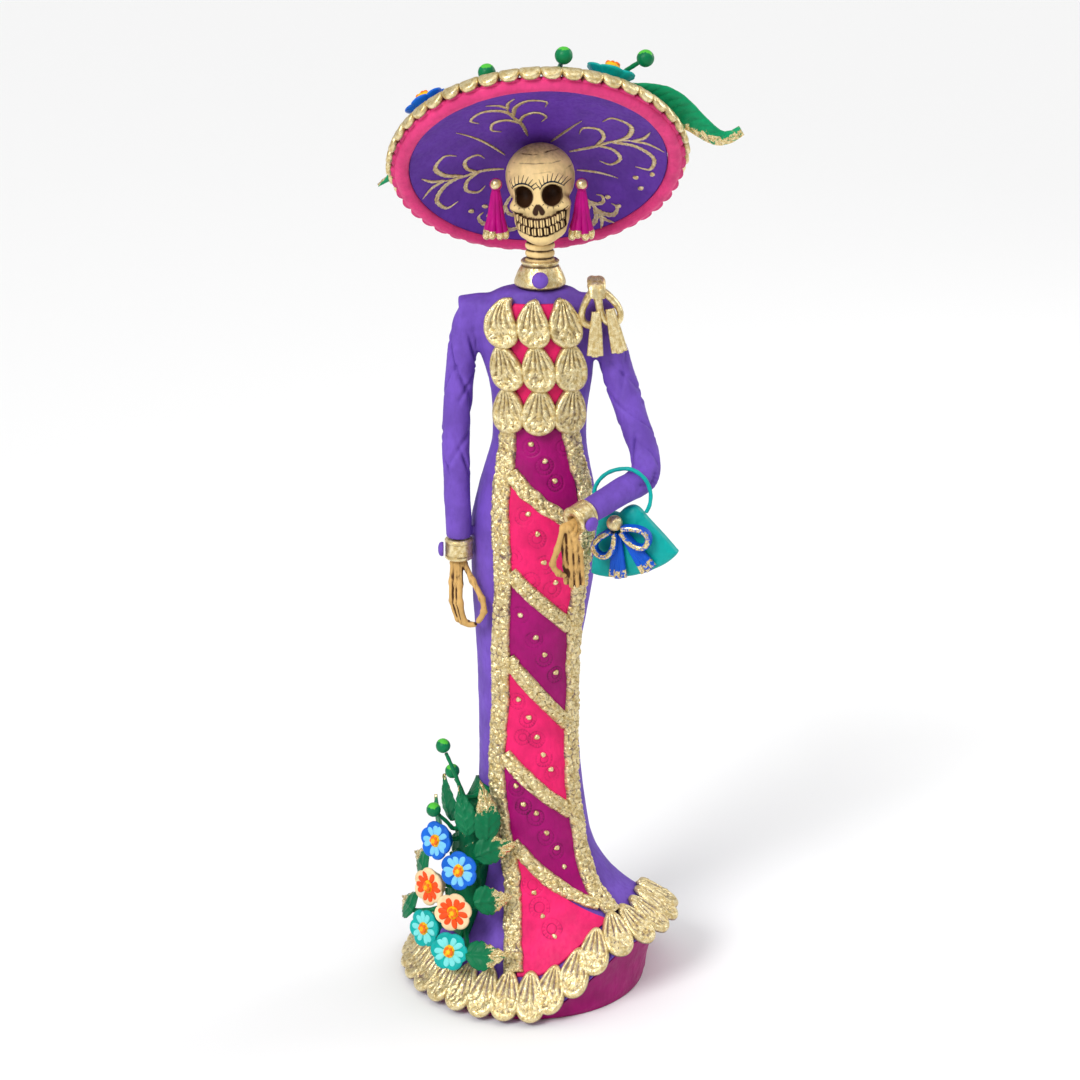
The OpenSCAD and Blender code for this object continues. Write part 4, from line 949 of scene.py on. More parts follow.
def build_petals():
    rows = [("chest_petals_top", 290.5, [-119, -89.5, -60]),
            ("chest_petals_middle", 273.2, [-122.5, -90, -57.5]),
            ("chest_petals_bottom", 255.8, [-126, -91, -56])]
    for r, (node, z, angles) in enumerate(rows):
        s = Shape()
        for i, a in enumerate(angles):
            here = near_gown(a, z)
            lean = lambda x, y, h: here(x, y, h + GAP + PANEL_T + 0.9 - 0.075 * y)
            petal(s, lean, 13.0, 19.6, 2.7, 61 + 3 * r + i, 6)
        piece(node + "_modelled", s, GOLD, [node])
    s = Shape()
    for i in range(HEM_PETALS):
        a = 360 * i / HEM_PETALS - 92
        z = float(mix(hem_z(a), FLARE_Z, 0.07))
        axes = frame_to(gown_normal(np.float64(a), np.float64(z)), [0, 0, 1])
        wob = noise(np.array([a, z, 1.0]), 9, 5)
        place = lambda x, y, h: put(np.stack([x, y * (1 + 0.05 * wob), h + 0.03 * y], -1),
                                    lift(np.float64(a + 1.2 * wob), np.float64(z), 0.85), axes)
        petal(s, place, 12.9, HEM_PETAL_L + 2.2, 2.5, 81 + i, 5, 0.1)
    piece("hem_petals_modelled", s, GOLD_VIOLET, ["hem_petals"])


# ---------- bone: skull, neck, hands ----------
def ball_field(p, c, r):
    return np.linalg.norm(p - np.asarray(c, float), axis=-1) - r


def egg_field(p, c, r):
    r = np.asarray(r, float)
    q = (p - np.asarray(c, float)) / r
    k = np.linalg.norm(q, axis=-1)
    return k * (k - 1) / np.maximum(np.linalg.norm(q / r, axis=-1), 1e-6)


def rod_field(p, a, b, ra, rb):
    a, b = np.asarray(a, float), np.asarray(b, float)
    t = np.clip(((p - a) @ (b - a)) / max(np.dot(b - a, b - a), 1e-9), 0, 1)
    return np.linalg.norm(p - a - t[..., None] * (b - a), axis=-1) - mix(ra, rb, t)


def block_field(p, c, turned_by, half, r):
    q = np.abs(turned(p - np.asarray(c, float), "z", -turned_by)) - (np.asarray(half) - r)
    return np.linalg.norm(np.maximum(q, 0), axis=-1) + np.minimum(q.max(-1), 0) - r


def join(a, b, k):
    """Both solids, with a fillet about k wide."""
    h = np.clip(0.5 + 0.5 * (b - a) / k, 0, 1)
    return mix(b, a, h) - k * h * (1 - h)


def carve(a, b, k):
    """Solid a with b cut out of it."""
    return -join(-a, b, k)


def skull_world(p):
    """From the skull's own frame to the figure's."""
    return SKULL_C + turned(turned(np.asarray(p, float), "z", -6), "y", -5)


# the smile: teeth stand on an arc of this radius about this centre, and curve up at the ends
SMILE_R, SMILE_Y, SMILE_RISE = 10.4, -3.4, 2.3
UPPER_STEP, LOWER_STEP = 12.0, 12.6
# place along the arc in tooth widths, and 1 for an upper tooth
TEETH = [(i, 1) for i in np.arange(-4.5, 5)] + [(i, 0) for i in np.arange(-4, 5)]
SOCKET, SOCKET_SIZE = (5.75, -12.8, -3.9), (3.9, 7.2, 4.3)


def skull_field(p):
    m = np.stack([np.abs(p[..., 0]), p[..., 1], p[..., 2]], -1)
    f = egg_field(p, (0, 1.4, 0.9), (13.8, 14.2, 13.4))
    f = join(f, egg_field(m, (4.4, -9.4, 1.0), (6.0, 3.8, 2.6)), 3)
    f = join(f, egg_field(p, (0, -7.4, -7.0), (9.4, 6.6, 7.0)), 3)
    f = join(f, egg_field(m, (8.6, -7.4, -8.6), (3.4, 4.2, 2.6)), 2.4)
    f = join(f, egg_field(p, (0, -6.2, -14.6), (10.2, 7.6, 4.8)), 2.4)
    f = join(f, rod_field(m, (9.4, -2.4, -9.6), (6.8, -6.4, -18.0), 2.4, 2.9), 2.2)
    f = join(f, egg_field(p, (0, -7.4, -19.0), (8.2, 6.0, 4.8)), 2.2)
    f = join(f, egg_field(p, (0, -10.2, -21.0), (4.8, 3.8, 3.0)), 2)
    f = carve(f, egg_field(m, (14.8, -7.0, -0.4), (3.2, 6.6, 5.6)), 2.4)
    f = carve(f, egg_field(m, SOCKET, SOCKET_SIZE), 0.8)
    f = carve(f, rod_field(m, (0.4, -15.4, -7.6), (1.5, -14.6, -10.6), 0.6, 1.1), 0.5)
    smile = p[..., 2] - SMILE_RISE * (p[..., 0] / 9) ** 2 + 16.2
    reach = np.hypot(p[..., 0], p[..., 1] - SMILE_Y)
    mouth = np.maximum(np.maximum(np.abs(smile) - 3.3, SMILE_R - 0.5 - reach), np.abs(p[..., 0]) - 9.6)
    f = carve(f, mouth, 0.7)
    for i, upper in TEETH:
        a = i * (UPPER_STEP if upper else LOWER_STEP)
        x = SMILE_R * math.sin(math.radians(a))
        z = (-14.55 if upper else -17.85) + SMILE_RISE * (x / 9) ** 2
        c = (x, SMILE_Y - SMILE_R * math.cos(math.radians(a)), z)
        f = np.minimum(f, block_field(p, c, a, (1.0, 1.3, 1.75 if upper else 1.6), 0.6))
    return f


def skull_paint_and_shade(v):
    """Brown paint of the sockets, the nose and the lines between the teeth; in the sockets and the nose it is
    painted shade as well.
    """
    m = np.stack([np.abs(v[:, 0]), v[:, 1], v[:, 2]], 1)
    inside = np.linalg.norm((m - SOCKET) / SOCKET_SIZE, axis=1)
    shade_and_wash = ramp(1.04 - inside, -0.03, 0.05)
    shade_and_wash = np.maximum(shade_and_wash, ramp(1.5 - rod_field(m, (0.4, -15.0, -7.6), (1.5, -14.4, -10.6), 0.0, 0.5), 0,
                                 0.5))
    a = np.degrees(np.arctan2(v[:, 0], SMILE_Y - v[:, 1]))
    smile = v[:, 2] - SMILE_RISE * (v[:, 0] / 9) ** 2 + 16.2
    front = (v[:, 1] < SMILE_Y) & (np.abs(smile) < 3.7) & (np.abs(a) < 62)
    beside = np.abs(np.where(smile > 0, a / UPPER_STEP + 0.5, a / LOWER_STEP) % 1 - 0.5)
    gaps = np.maximum(bump(beside, 0.5, 0.11),
                      np.maximum(bump(smile, 0, 0.28), bump(np.abs(smile), 3.3, 0.3)))
    return np.maximum(shade_and_wash, front * gaps)


def hollow_tone(field, v, n, reach, gain):
    """How deep each point sits in a hollow: 0 on open bone, 1 in a crease. The skull and the hands darken by
    it as painted shade.
    """
    return np.clip((reach - field(v + reach * n)) / reach * gain, 0, 1)


def build_skull():
    s = skin_of_field(skull_field, (-16, -18, -26), (16, 17, 16), 0.33)
    mesh = s.build("skull")
    outward(mesh)
    relax(mesh, 2)
    v, n = coords(mesh), normals(mesh)
    # painted shade in the hollows and creases of the skull
    dark = np.maximum(hollow_tone(skull_field, v, n, 0.7, 1.6),
                      0.7 * hollow_tone(skull_field, v, n, 2.4, 0.9))
    lines = bump((v[:, 2] + 0.8 * rough(v, 7, 3)) % 3.4, 1.7, 0.2)
    lines = lines * ramp(v[:, 2], 3, 6) * ramp(rough(v, 5, 12), 0, 0.3)
    d = 0.12 * rough(v, 6, 2) + 0.05 * rough(v, 1.4, 5) - 0.12 * lines
    # the cracks, the crown and the sides of the cranium are darker
    crown = 1.1 * ramp(v[:, 2], 4.5, 13.5) + 0.5 * ramp(np.abs(v[:, 0]), 9.0, 13.5)
    dark = np.maximum(skull_paint_and_shade(v), dark + 0.4 * lines + 0.42 * crown + 0.12 * rough(v, 2.4, 9))
    dark = np.clip(dark, 0, 1)
    set_coords(mesh, skull_world(v + d[:, None] * n))
    set_tone(mesh, dark)
    obj = piece("skull_modelled", mesh, BONE, ["skull"])
    lashes = Shape()
    for side in (-1, 1):
        c = np.array([SOCKET[0] * side, SOCKET[2]])
        def on_face(x, z):
            x, z = np.asarray(x, float), np.asarray(z, float)
            y = np.full(x.shape, -22.0)
            for _ in range(40):
                y = y + 0.8 * skull_field(np.stack([x, y, z], -1))
            return skull_world(np.stack([x, y - 0.12, z], -1))
        q = np.radians(np.linspace(28, 152, 16))
        r = 5.0 + 0.5 * np.sin(q)
        lashes.tube(on_face(c[0] + r * np.cos(q), c[1] + r * np.sin(q)),
                    0.34 * np.sin(np.linspace(0.25, 2.9, 16)), 8)
        for k in range(9):
            q0 = math.radians(mix(34, 146, k / 8))
            lean = 0.28 * math.cos(q0)
            t = np.linspace(0, 1, 8)
            r = mix(5.2, 8.0 - 0.5 * abs(k - 4) / 4, t)
            x = c[0] + r * np.cos(q0 - 0.12 * t) + lean * t
            lashes.tube(on_face(x, c[1] + r * np.sin(q0 - 0.12 * t) + 0.5 * t), mix(0.22, 0.08, t), 6)
        for k in range(5):
            q0 = math.radians(mix(222, 318, k / 4))
            t = np.linspace(0, 1, 5)
            r = mix(4.6, 5.5, t)
            lashes.tube(on_face(c[0] + r * np.cos(q0), c[1] + r * np.sin(q0)), mix(0.16, 0.06, t), 6)
    strokes = unplaced("lashes", lashes, LASH)
    strokes.parent = obj


def build_neck():
    r = NECK_R
    z = np.array([298, 303, 308, 312, 314.2, 314.8, 315.2, 315.6, 316.2, 317.2, 317.8, 318.2, 318.6, 319.2,
                  320.2, 320.8, 321.2, 321.6, 322.4, 325, 329, 333])
    k = np.array([0, 0, 0, 0, -0.05, -0.35, -0.9, -0.35, 0, 0, -0.35, -0.9, -0.35, 0, 0, -0.4, -1.1, -0.6,
                  -0.3, -0.6, -0.8, -0.9])
    zz = np.linspace(298, 333, 150)
    rr = r + np.interp(zz, z, k)
    outline = np.concatenate([np.stack([rr, zz], 1), [[1.4, 333], [1.4, 298]]])
    s = Shape()
    lump = lambda p: 0.12 * rough(p, 3, 4)[..., None] * unit(p * [1, 1, 0] + [1e-9, 0, 0])
    # painted shade in the ring grooves, as deep as they are, over a little brown everywhere and random
    # patches
    dark = lambda p: np.clip(-np.interp(p[..., 2], z, k) * 1.1 * (p[..., 2] < 322) + 0.12
                             + 0.2 * rough(p, 5, 8), 0, 1)
    s.spin(outline, lambda p: p + [SKULL_C[0], 0, 0], 110, lump, dark)
    piece("neck_modelled", s, BONE, ["neck"])


RIGHT_FINGERS = [([[-32.6, -9.4, 189], [-33.2, -10, 181], [-33.1, -11, 173], [-30.6, -12.6, 165.6],
                   [-26.6, -14, 164.6]], 1.5),
                   ([[-31, -10.6, 189], [-31.2, -11.6, 181], [-31.1, -13, 173], [-28.8, -14.6, 165.2],
                     [-25, -16, 164.6]], 1.5),
                     ([[-29.6, -11.4, 189], [-29.8, -13.4, 181], [-29.7, -15, 173.4], [-27.6, -16.6, 165.4],
                       [-23.8, -18, 165.2]], 1.45),
                       ([[-28, -11.2, 189.2], [-24.6, -14.4, 183], [-20.8, -18, 176.4], [-20, -19.4, 171.4],
                         [-22.2, -19.4, 167.2]], 1.5)]
LEFT_FINGERS = [([[12.2, -47.4, 217.4], [12.4, -47.6, 209.6], [13.2, -46, 200.6], [13.4, -44.4, 193.2]],
                 1.45), ([[14.2, -48, 216.6], [14.8, -48, 209], [15.2, -46.6, 200.2], [15.5, -44.8, 192]],
                         1.45), ([[15.8, -48.2, 214.8], [17, -47.8, 208.4], [17.3, -46.2, 200],
                                  [17.8, -44.6, 192]], 1.45),
                                  ([[16.8, -48.2, 212.4], [18.8, -47, 207.2], [19.3, -45.4, 200.2],
                                    [19.9, -44, 192.6]], 1.4),
                                    ([[12, -48.2, 217], [9.9, -49.2, 208.6], [8, -49.6, 202.6],
                                      [10.4, -49, 198.6], [12.6, -47.8, 197.4]], 1.45)]
FOREARM = unit([-22.2, -20.4, -7.7])
LEFT_WRIST = np.array([22.2, -40.2, 221.2])
RIGHT_WRIST = np.array([-30.2, -10, 200.1])


def hand_field(p, fingers, wrist, palm):
    """Wrist, palm bones and fingers; every finger is a thin rod with knuckles."""
    f = rod_field(p, wrist[0], mix(np.array(wrist[0]), np.array(wrist[1]), 0.55), 2.3, 1.9)
    f = join(f, ball_field(p, palm[0], palm[1] * 0.72), 1.0)
    for points, r in fingers:
        f = join(f, rod_field(p, mix(np.array(wrist[0]), np.array(wrist[1]), 0.4), points[0], 0.95, 1.15),
                 0.3)
        c = curve(points, 4)
        m = len(c) - 1
        size = [r * (0.8 + 0.26 * max(0, math.cos(2 * math.pi * i / 4)) ** 3) * (0.7 if i == m else 1)
                for i in range(m + 1)]
        finger = np.full(p.shape[:-1], 99.0)
        for i in range(m):
            finger = np.minimum(finger, rod_field(p, c[i], c[i + 1], size[i], size[i + 1]))
        f = join(f, finger, 0.22)
    return f


def build_hand(name, node, fingers, wrist, palm, lo, hi):
    field_here = lambda p: hand_field(p, fingers, wrist, palm)
    mesh = skin_of_field(field_here, lo, hi, 0.3).build(name)
    outward(mesh)
    relax(mesh, 1)
    v, n = coords(mesh), normals(mesh)
    # painted shade in the hollows and creases of the hand; the streaks and a little brown everywhere are
    # paint
    dark = np.maximum(hollow_tone(field_here, v, n, 0.8, 1.6), hollow_tone(field_here, v, n, 2.0, 0.9))
    grain = rough(v * [1, 1, 0.25], 0.9, 7)
    dark = np.clip(1.25 * dark + 0.4 * ramp(grain, 0.05, 0.6) + 0.1, 0, 1)
    set_coords(mesh, v + (0.1 * rough(v, 1.8, 3) - 0.08 * ramp(grain, 0.1, 0.7))[:, None] * n)
    set_tone(mesh, dark)
    piece(name, mesh, HAND_BONE, [node])


def build_hands():
    build_hand("hand_right", "right_hand", RIGHT_FINGERS, ((-30.2, -10, 199.4), (-30.2, -10, 189)),
               ((-30.2, -10, 187.6), 3.4), (-37, -23, 161), (-17, -5, 202.5))
    root = LEFT_WRIST + 0.8 * FOREARM
    build_hand("hand_left", "left_hand", LEFT_FINGERS, (root, LEFT_WRIST + 9 * FOREARM),
               ((14, -47.6, 216.6), 2.9), (5, -53, 189), (27, -36, 226))


# ---------- gilded collar and cuffs, violet buttons ----------
def crust(depth, size, seed):
    """Unevenness for a turned outline."""
    return lambda p: depth * (rough(p, size, seed) + 0.4 * rough(p, size / 3, seed + 2))[..., None] * unit(
        p * [1, 1, 0] + [1e-9, 0, 0])


def build_collar():
    s = Shape()
    side = curve([[9.6, 0], [10.3, 0.8], [10.2, 2.2], [9.5, 4.2], [8.5, 6.4], [7.6, 7.9], [7.2, 8.5],
                  [7.6, 9.3], [7.7, 10], [7.1, 10.5]], 8)
    outline = np.concatenate([[[NECK_R + 0.2, 0]], side, [[NECK_R + 0.2, 10.4]]])
    # painted shade in the groove under the top roll and round the foot, over random patches
    tone = lambda p: np.clip(bump(p[..., 2], 8.4, 0.45) + bump(p[..., 2], 0.2, 0.5) * 0.8
                             + 0.3 * rough(p, 3, 2), 0, 1)
    s.spin(outline, lambda p: p + [SKULL_C[0], 0, COLLAR_Z], 140, crust(0.09, 4.2, 3), tone)
    piece("collar_modelled", s, GOLD_SMOOTH, ["collar"])
    s = Shape()
    axes = frame_to([0, -1, 0.35], [0, 0, 1])
    outline = curve([[2.8, 0.2], [3.3, 1.2], [2.9, 2.3], [1.7, 3.1], [0.02, 3.4]], 6)
    s.spin(np.concatenate([[[0.02, 0.2]], outline]), lambda p: put(p, [3, -9.4, 307.4], axes), 48)
    piece("brooch", s, VIOLET, ["collar_brooch"])


def cuff(name, node, place, seed):
    s = Shape()
    side = curve([[5.1, 0], [5.7, 0.5], [5.8, 1.2], [5.6, 2.2], [5.6, 4.5], [5.6, 6.6], [5.8, 7.6],
                  [5.7, 8.3], [5.1, 8.8]], 8)
    outline = np.concatenate([[[2.6, 0]], side, [[2.6, 8.8]]])
    # painted shade along the inner edge of each rolled end, over random patches
    tone = lambda p: np.clip(bump(p[..., 2], 1.8, 0.3) * 0.5 + bump(p[..., 2], 7.0, 0.3) * 0.5
                             + 0.3 * rough(p, 3, seed), 0, 1)
    s.spin(outline, place, 110, crust(0.1, 4, seed), tone)
    piece(name, s, GOLD_SMOOTH, [node])


def button(name, node, origin, z, y):
    s = Shape()
    outline = curve([[2.8, 0], [3, 0.7], [2.5, 1.6], [1.3, 2.1], [0.02, 2.2]], 6)
    axes = frame_to(z, y)
    s.spin(np.concatenate([[[0.02, 0]], outline]), lambda p: put(p, origin, axes), 44)
    piece(name, s, VIOLET, [node])


def build_cuffs():
    cuff("cuff_right", "right_cuff", lambda p: RIGHT_WRIST + p * [1, -1, -1], 4)
    axes = frame_to(FOREARM, [0, 0, 1])
    cuff("cuff_left", "left_cuff", lambda p: put(p, LEFT_WRIST, axes), 14)
    button("button_right", "right_cuff_button", [-36.5, -11.2, 195.6], [-1, 0, 0], [0, 0, 1])
    out = unit([0.62, -0.74, -0.2])
    button("button_left", "left_cuff_button", LEFT_WRIST + 4.4 * FOREARM + 6.2 * out, out, [0, 0, 1])


# ---------- hat ----------
def bowl_z(r):
    """Underside of the hat in its own frame."""
    return BOWL_D * (1 - np.minimum(1, r / BOWL_R) ** 2.4)


def build_hat_dish():
    s = Shape()
    r = np.linspace(0.02, BOWL_R, 90)
    inner = np.stack([r, bowl_z(r)], 1)
    outer = curve([[51.2, 3.2], [46, 6.2], [40, 8.6], [33, 10.6], [26, 12.2], [21.5, 13.6], [19.4, 16],
                   [17.6, 18.8], [14, 20.8], [8, 21.8], [0.02, 22]], 8)
    lump = lambda p: np.stack([0 * p[..., 0], 0 * p[..., 0],
                               0.1 * rough(p, 7, 3) + 0.05 * rough(p, 1.7, 5)], -1)
    s.spin(np.concatenate([inner, outer]), on_hat, 240, lump)
    piece("hat_dish", s, DEEP_VIOLET, ["hat_bowl"], "hat")


def stroke(s, path, width, seed=0):
    """Painted stroke on the underside of the hat, through [x, y] points; it tapers at both ends."""
    p = along(curve(path, 8), 0.5)
    t = unit(np.gradient(p, axis=0))
    k = np.linspace(0, 1, len(p))
    w = width / 2 * np.interp(k, [0, 0.12, 0.45, 0.8, 1], [0.35, 0.85, 1, 0.62, 0.12])
    w = w * (1 + 0.14 * np.sin(np.arange(len(p)) * 1.7 + seed))
    c = np.array([-1, -0.6, 0, 0.6, 1, 0.6, 0, -0.6])
    drop = np.array([0, 0.2, 0.28, 0.2, 0, -0.3, -0.3, -0.3])
    x = p[:, None, 0] - t[:, None, 1] * c * w[:, None]
    y = p[:, None, 1] + t[:, None, 0] * c * w[:, None]
    z = bowl_z(np.hypot(x, y)) - 0.12 - drop
    s.grid(on_hat(np.stack([x, y, z], -1)), around=True, ends=True, tone=0.25)


def plant(s, root, tip, seed):
    """A scrolled frond: a stem with pairs of curling strokes and a flared end."""
    root, tip = np.asarray(root, float), np.asarray(tip, float)
    d = tip - root
    n = np.array([-d[1], d[0]])
    at = lambda u, v: root + u * d + v * n
    stroke(s, [root, at(0.3, 0.02), at(0.62, -0.03), at(0.86, 0)], 1.7, seed)
    for side in (-1, 1):
        stroke(s, [at(0.34, 0), at(0.5, 0.12 * side), at(0.52, 0.3 * side), at(0.36, 0.38 * side),
                   at(0.26, 0.28 * side)], 1.8, seed + 1)
        stroke(s, [at(0.56, 0), at(0.8, 0.1 * side), at(0.93, 0.32 * side), at(0.8, 0.52 * side),
                   at(0.64, 0.46 * side)], 2.2, seed + 2)
        stroke(s, [at(0.8, 0), at(0.98, 0.06 * side), at(1.12, 0.2 * side)], 1.6, seed + 3)


# painted fronds as (root, tip), rays as (start, end) and spots, at [x, y] under the hat
SCROLLS = [((-14, 12.2), (-43.5, 10.5)), ((-3.4, -8), (-11.5, -36.5)), ((12.6, 4.2), (43.5, -9)),
           ((16, 28), (25, 42)), ((-12, 28), (-20, 43))]
RAYS = [((-13.1, 3.3), (-30.9, -19.6)), ((5.6, -2.8), (18.3, -18)), ((15.1, 15.8), (31.4, 18.6))]
SPOTS = [(-29, 31.9), (-23.2, 31.3), (-21.9, 36.2), (38.6, 16.7), (45.2, 12.5), (40.4, 22.2), (27, 30),
         (31, 34)]


def build_scrolls():
    s = Shape()
    for i, (a, b) in enumerate(SCROLLS):
        plant(s, a, b, 3 * i)
    for i, (a, b) in enumerate(RAYS):
        m = mix(np.array(a), np.array(b), 0.5) + [0.6, -0.4]
        stroke(s, [a, m, b], 1.3, i)
    for i, (x, y) in enumerate(SPOTS):
        z = bowl_z(math.hypot(x, y))
        dome(s, lambda u, v, h: on_hat(np.stack([x + u, y + v, z - 0.1 - h], -1)), 1.25, 0.3, i)
    obj = unplaced("hat_scrolls", s, SCROLL_GOLD)
    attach(obj, "hat")


def build_rim():
    s = Shape()
    outline = along(curve([[51.3, -0.6], [52.4, -1.8], [54.6, -2], [56.4, -1], [57, 0.6], [56.2, 2.4],
                           [54.4, 3.4], [51.3, 3.2]], 5), 0.4)
    lump = lambda p: np.stack([0 * p[..., 0], 0 * p[..., 0], 0.22 * rough(p, 7, 3) + 0.06 * rough(p, 2, 5)],
                              -1)
    s.spin(outline, on_hat, 460, lump)
    for i in range(SCALLOPS):
        scallop(s, i, [[52.6, 0.2], [55.2, 0.2], [58.6, 0.0]], 7.4, 2.0, 0.3)
    piece("rim_lip", s, RIM_PINK, ["hat_rim"], "hat")
    s = Shape()
    for i in range(SCALLOPS):
        high = float(ramp(-math.sin(math.radians(360 * (i + 0.5) / SCALLOPS)), -0.6, 0.3))
        hung = [[52, 3.6], [55, 4.2], [56.6 + 1.2 * high, 3.2], [57.2 + 1.6 * high, 3.4 - 4.4 * high]]
        scallop(s, i, hung, 8.2, 2.0, 0.0)
    piece("rim_scallops", s, GOLD_SMOOTH, ["hat_scallops"], "hat")


def scallop(s, i, route, w, t, gold_edge):
    """Plump lobe hung over the rim along [radius, z] points, its round end last."""
    path = along(curve(route, 6), 0.1)
    l = 0.1 * (len(path) - 1)
    side = unit(np.gradient(path, axis=0))
    side = np.stack([-side[:, 1], side[:, 0]], 1)
    k = np.array([1, 1, 0.97, 0.88, 0.74, 0.55, 0.3, 0.08])
    up = np.array([0, 0.42, 0.72, 0.92, 1, 1.02, 1, 1])
    q = np.linspace(0, 2 * math.pi, 32, endpoint=False)
    jig = noise(np.array([i * 3.1, 0.5, w]), 2, 4)
    x = w / 2 * k[:, None] * np.sin(q) * (1 + 0.2 * np.cos(q)) * (1 + 0.08 * jig)
    y = np.clip(l / 2 + l / 2 * k[:, None] * np.cos(q) + 0.25 * jig, 0, l)
    p = np.stack([x, y, 0 * x + i * 11.0], -1)
    h = t * up[:, None] + 0.2 * rough(p, 2.6, 6) * (up[:, None] > 0.5)
    at = np.linspace(0, l, len(path))
    r, z, nr, nz = (np.interp(y, at, column) for column in (path[:, 0], path[:, 1], side[:, 0], side[:, 1]))
    r, z = r + nr * h, z + nz * h
    a = math.radians(360 * (i + 0.5) / SCALLOPS)
    c, v = math.cos(a), math.sin(a)
    # random darker patches, and painted shade on the low flank of each lobe; on the pink lip the gold paint
    # takes their place
    tone = 0.3 * ramp(rough(p, 1.8, 9), 0.1, 0.6) + 0.5 * (up[:, None] < 0.3)
    if gold_edge:
        tone = gold_edge * (up[:, None] > 0.4) * ramp(rough(p, 2.2, 9), -0.1, 0.5) * 1.6
    s.grid(on_hat(np.stack([r * c - x * v, r * v + x * c, z], -1)), around=True, ends=True,
           tone=np.clip(tone, 0, 1))


# ---------- flowers, leaves and buds ----------
def flower(s, origin, axes, r, h, seed, spin=0.0):
    """Solid six-lobed cup facing local +Z with a painted daisy (tone 1) on its face."""
    q = np.linspace(0, 2 * math.pi, 84, endpoint=False)
    lobe = np.abs(np.cos(3 * q + spin)) ** 0.55
    edge = r * (0.84 + 0.16 * lobe)
    rows = [(0.3, 0.1), (0.42, 0.0), (0.55, 0.16), (0.7, 0.42), (0.86, 0.66), (0.97, 0.8), (1.0, 0.88),
            (0.98, 0.95), (0.92, 0.99), (0.82, 0.975), (0.7, 0.95), (0.55, 0.925), (0.4, 0.91), (0.2, 0.9)]
    pts = []
    for i, (k, z) in enumerate(rows):
        front = i >= 8
        groove = (1 - lobe) * (0.8 * ramp(np.array(k), 0.25, 0.9) if front else 0.5 * z)
        radius = edge * k if k > 0.6 else mix(r * 0.92, edge, ramp(np.array(k), 0.3, 0.6)) * k
        p = np.stack([radius * np.cos(q), radius * np.sin(q), z * h - groove * 0.8], -1)
        pts.append(p + 0.16 * rough(p + seed * 9, 2.6, seed)[:, None] * [0.4, 0.4, 1])
    s.grid(put(np.stack(pts), origin, axes), around=True, ends=True)
    n = 10
    for i in range(n):
        a = 2 * math.pi * (i + 0.35 * noise(np.array([i * 1.3, seed, 0.2]), 1, 3)) / n
        l = r * (0.33 + 0.05 * noise(np.array([i * 2.7, seed, 1.2]), 1, 3))
        c = np.array([math.cos(a), math.sin(a)])
        t = np.linspace(0, 2 * math.pi, 16, endpoint=False)
        rings = []
        for k, z in ((1, -0.5), (1, 0.12), (0.8, 0.34), (0.4, 0.42)):
            u, w = k * l * np.cos(t), k * r * 0.145 * np.sin(t) * (1 + 0.35 * np.cos(t))
            d = r * 0.5 + u
            rings.append(np.stack([d * c[0] - w * c[1], d * c[1] + w * c[0], z + 0.925 * h + 0 * t], -1))
        s.grid(put(np.stack(rings), origin, axes), around=True, ends=True, tone=1.0)


def centre(s, origin, axes, r, z, seed):
    dome(s, lambda x, y, h: put(np.stack([x, y * 1.15, h + z], -1), origin, axes), r, r * 0.8, seed, 8, 26,
         0.08)
    for k in range(7):
        a = k * 2.4
        x0, y0 = 0.55 * r * math.cos(a), 0.55 * r * math.sin(a)
        dome(s, lambda x, y, h: put(np.stack([x0 + x, y0 + y, h + z + 0.5 * r], -1), origin, axes),
             0.34 * r, 0.3 * r, k, 4, 10, 0.1, 0.9)


def leaf(s, root, tip, face, w, thick, bend, jag=0.16, gold=0.45, seed=0):
    """Leaf with a raised midrib, slanting veins, a toothed edge and gilded tips (tone 1)."""
    root, tip = np.asarray(root, float), np.asarray(tip, float)
    l = np.linalg.norm(tip - root)
    y_dir = (tip - root) / l
    f = unit(np.asarray(face, float) - np.dot(face, y_dir) * y_dir)
    axes = np.stack([np.cross(y_dir, f), y_dir, f])
    t = np.linspace(0, 1, 64)[:, None]
    k = np.interp(t, [0, 0.12, 0.28, 0.45, 0.62, 0.8, 0.93, 1], [0.3, 0.8, 1, 0.93, 0.68, 0.36, 0.14, 0.02])
    u = np.linspace(-1, 1, 31)[None]
    teeth = (t * 5.5) % 1.0
    half = w / 2 * k * (1 + jag * (0.5 - teeth) * ramp(t, 0.18, 0.4) * ramp(1.0 - t, 0, 0.08)
                        * np.abs(u) ** 4)
    x = u * half + 0.06 * l * np.sin(math.pi * t + seed)
    y = l * (t - 0.035 * np.abs(u) ** 4 * teeth * ramp(t, 0.2, 0.4)) + 0 * x
    p = np.stack([x, y, 0 * x + seed * 17.0], -1)
    vein_phase = (t * l / 4.2 - np.abs(u) * 1.15) % 1.0
    vein = bump(vein_phase, 0.5, 0.16) * ramp(1 - np.abs(u), 0, 0.3)
    rib = bump(u, 0, 0.13)
    body = thick * (0.35 + 0.65 * k) * np.clip(1 - np.abs(u) ** 3, 0, 1)
    z = bend * t ** 2 + 0.55 * body + 0.3 * thick * rib + 0.16 * thick * vein + 0.1 * rough(p, 2.4, seed)
    back = bend * t ** 2 - 0.3 * body + 0 * x
    streaks = rough(p * [1.3, 0.4, 1], 2.0, seed + 5)
    gilt = ramp(t + 0.12 * np.abs(u), gold, gold + 0.5) * (0.62 + 0.3 * vein + 0.5 * streaks)
    gilt = np.clip(gilt + 0.35 * rib * ramp(t, 0.3, 0.7), 0, 1)
    top, low = np.stack([x, y, z], -1), np.stack([x, y, back], -1)[:, ::-1]
    s.grid(put(np.concatenate([top, low[:, 1:-1]], 1), root, axes), around=True, ends=True,
           tone=np.concatenate([gilt, 0 * gilt[:, 1:-1]], 1))


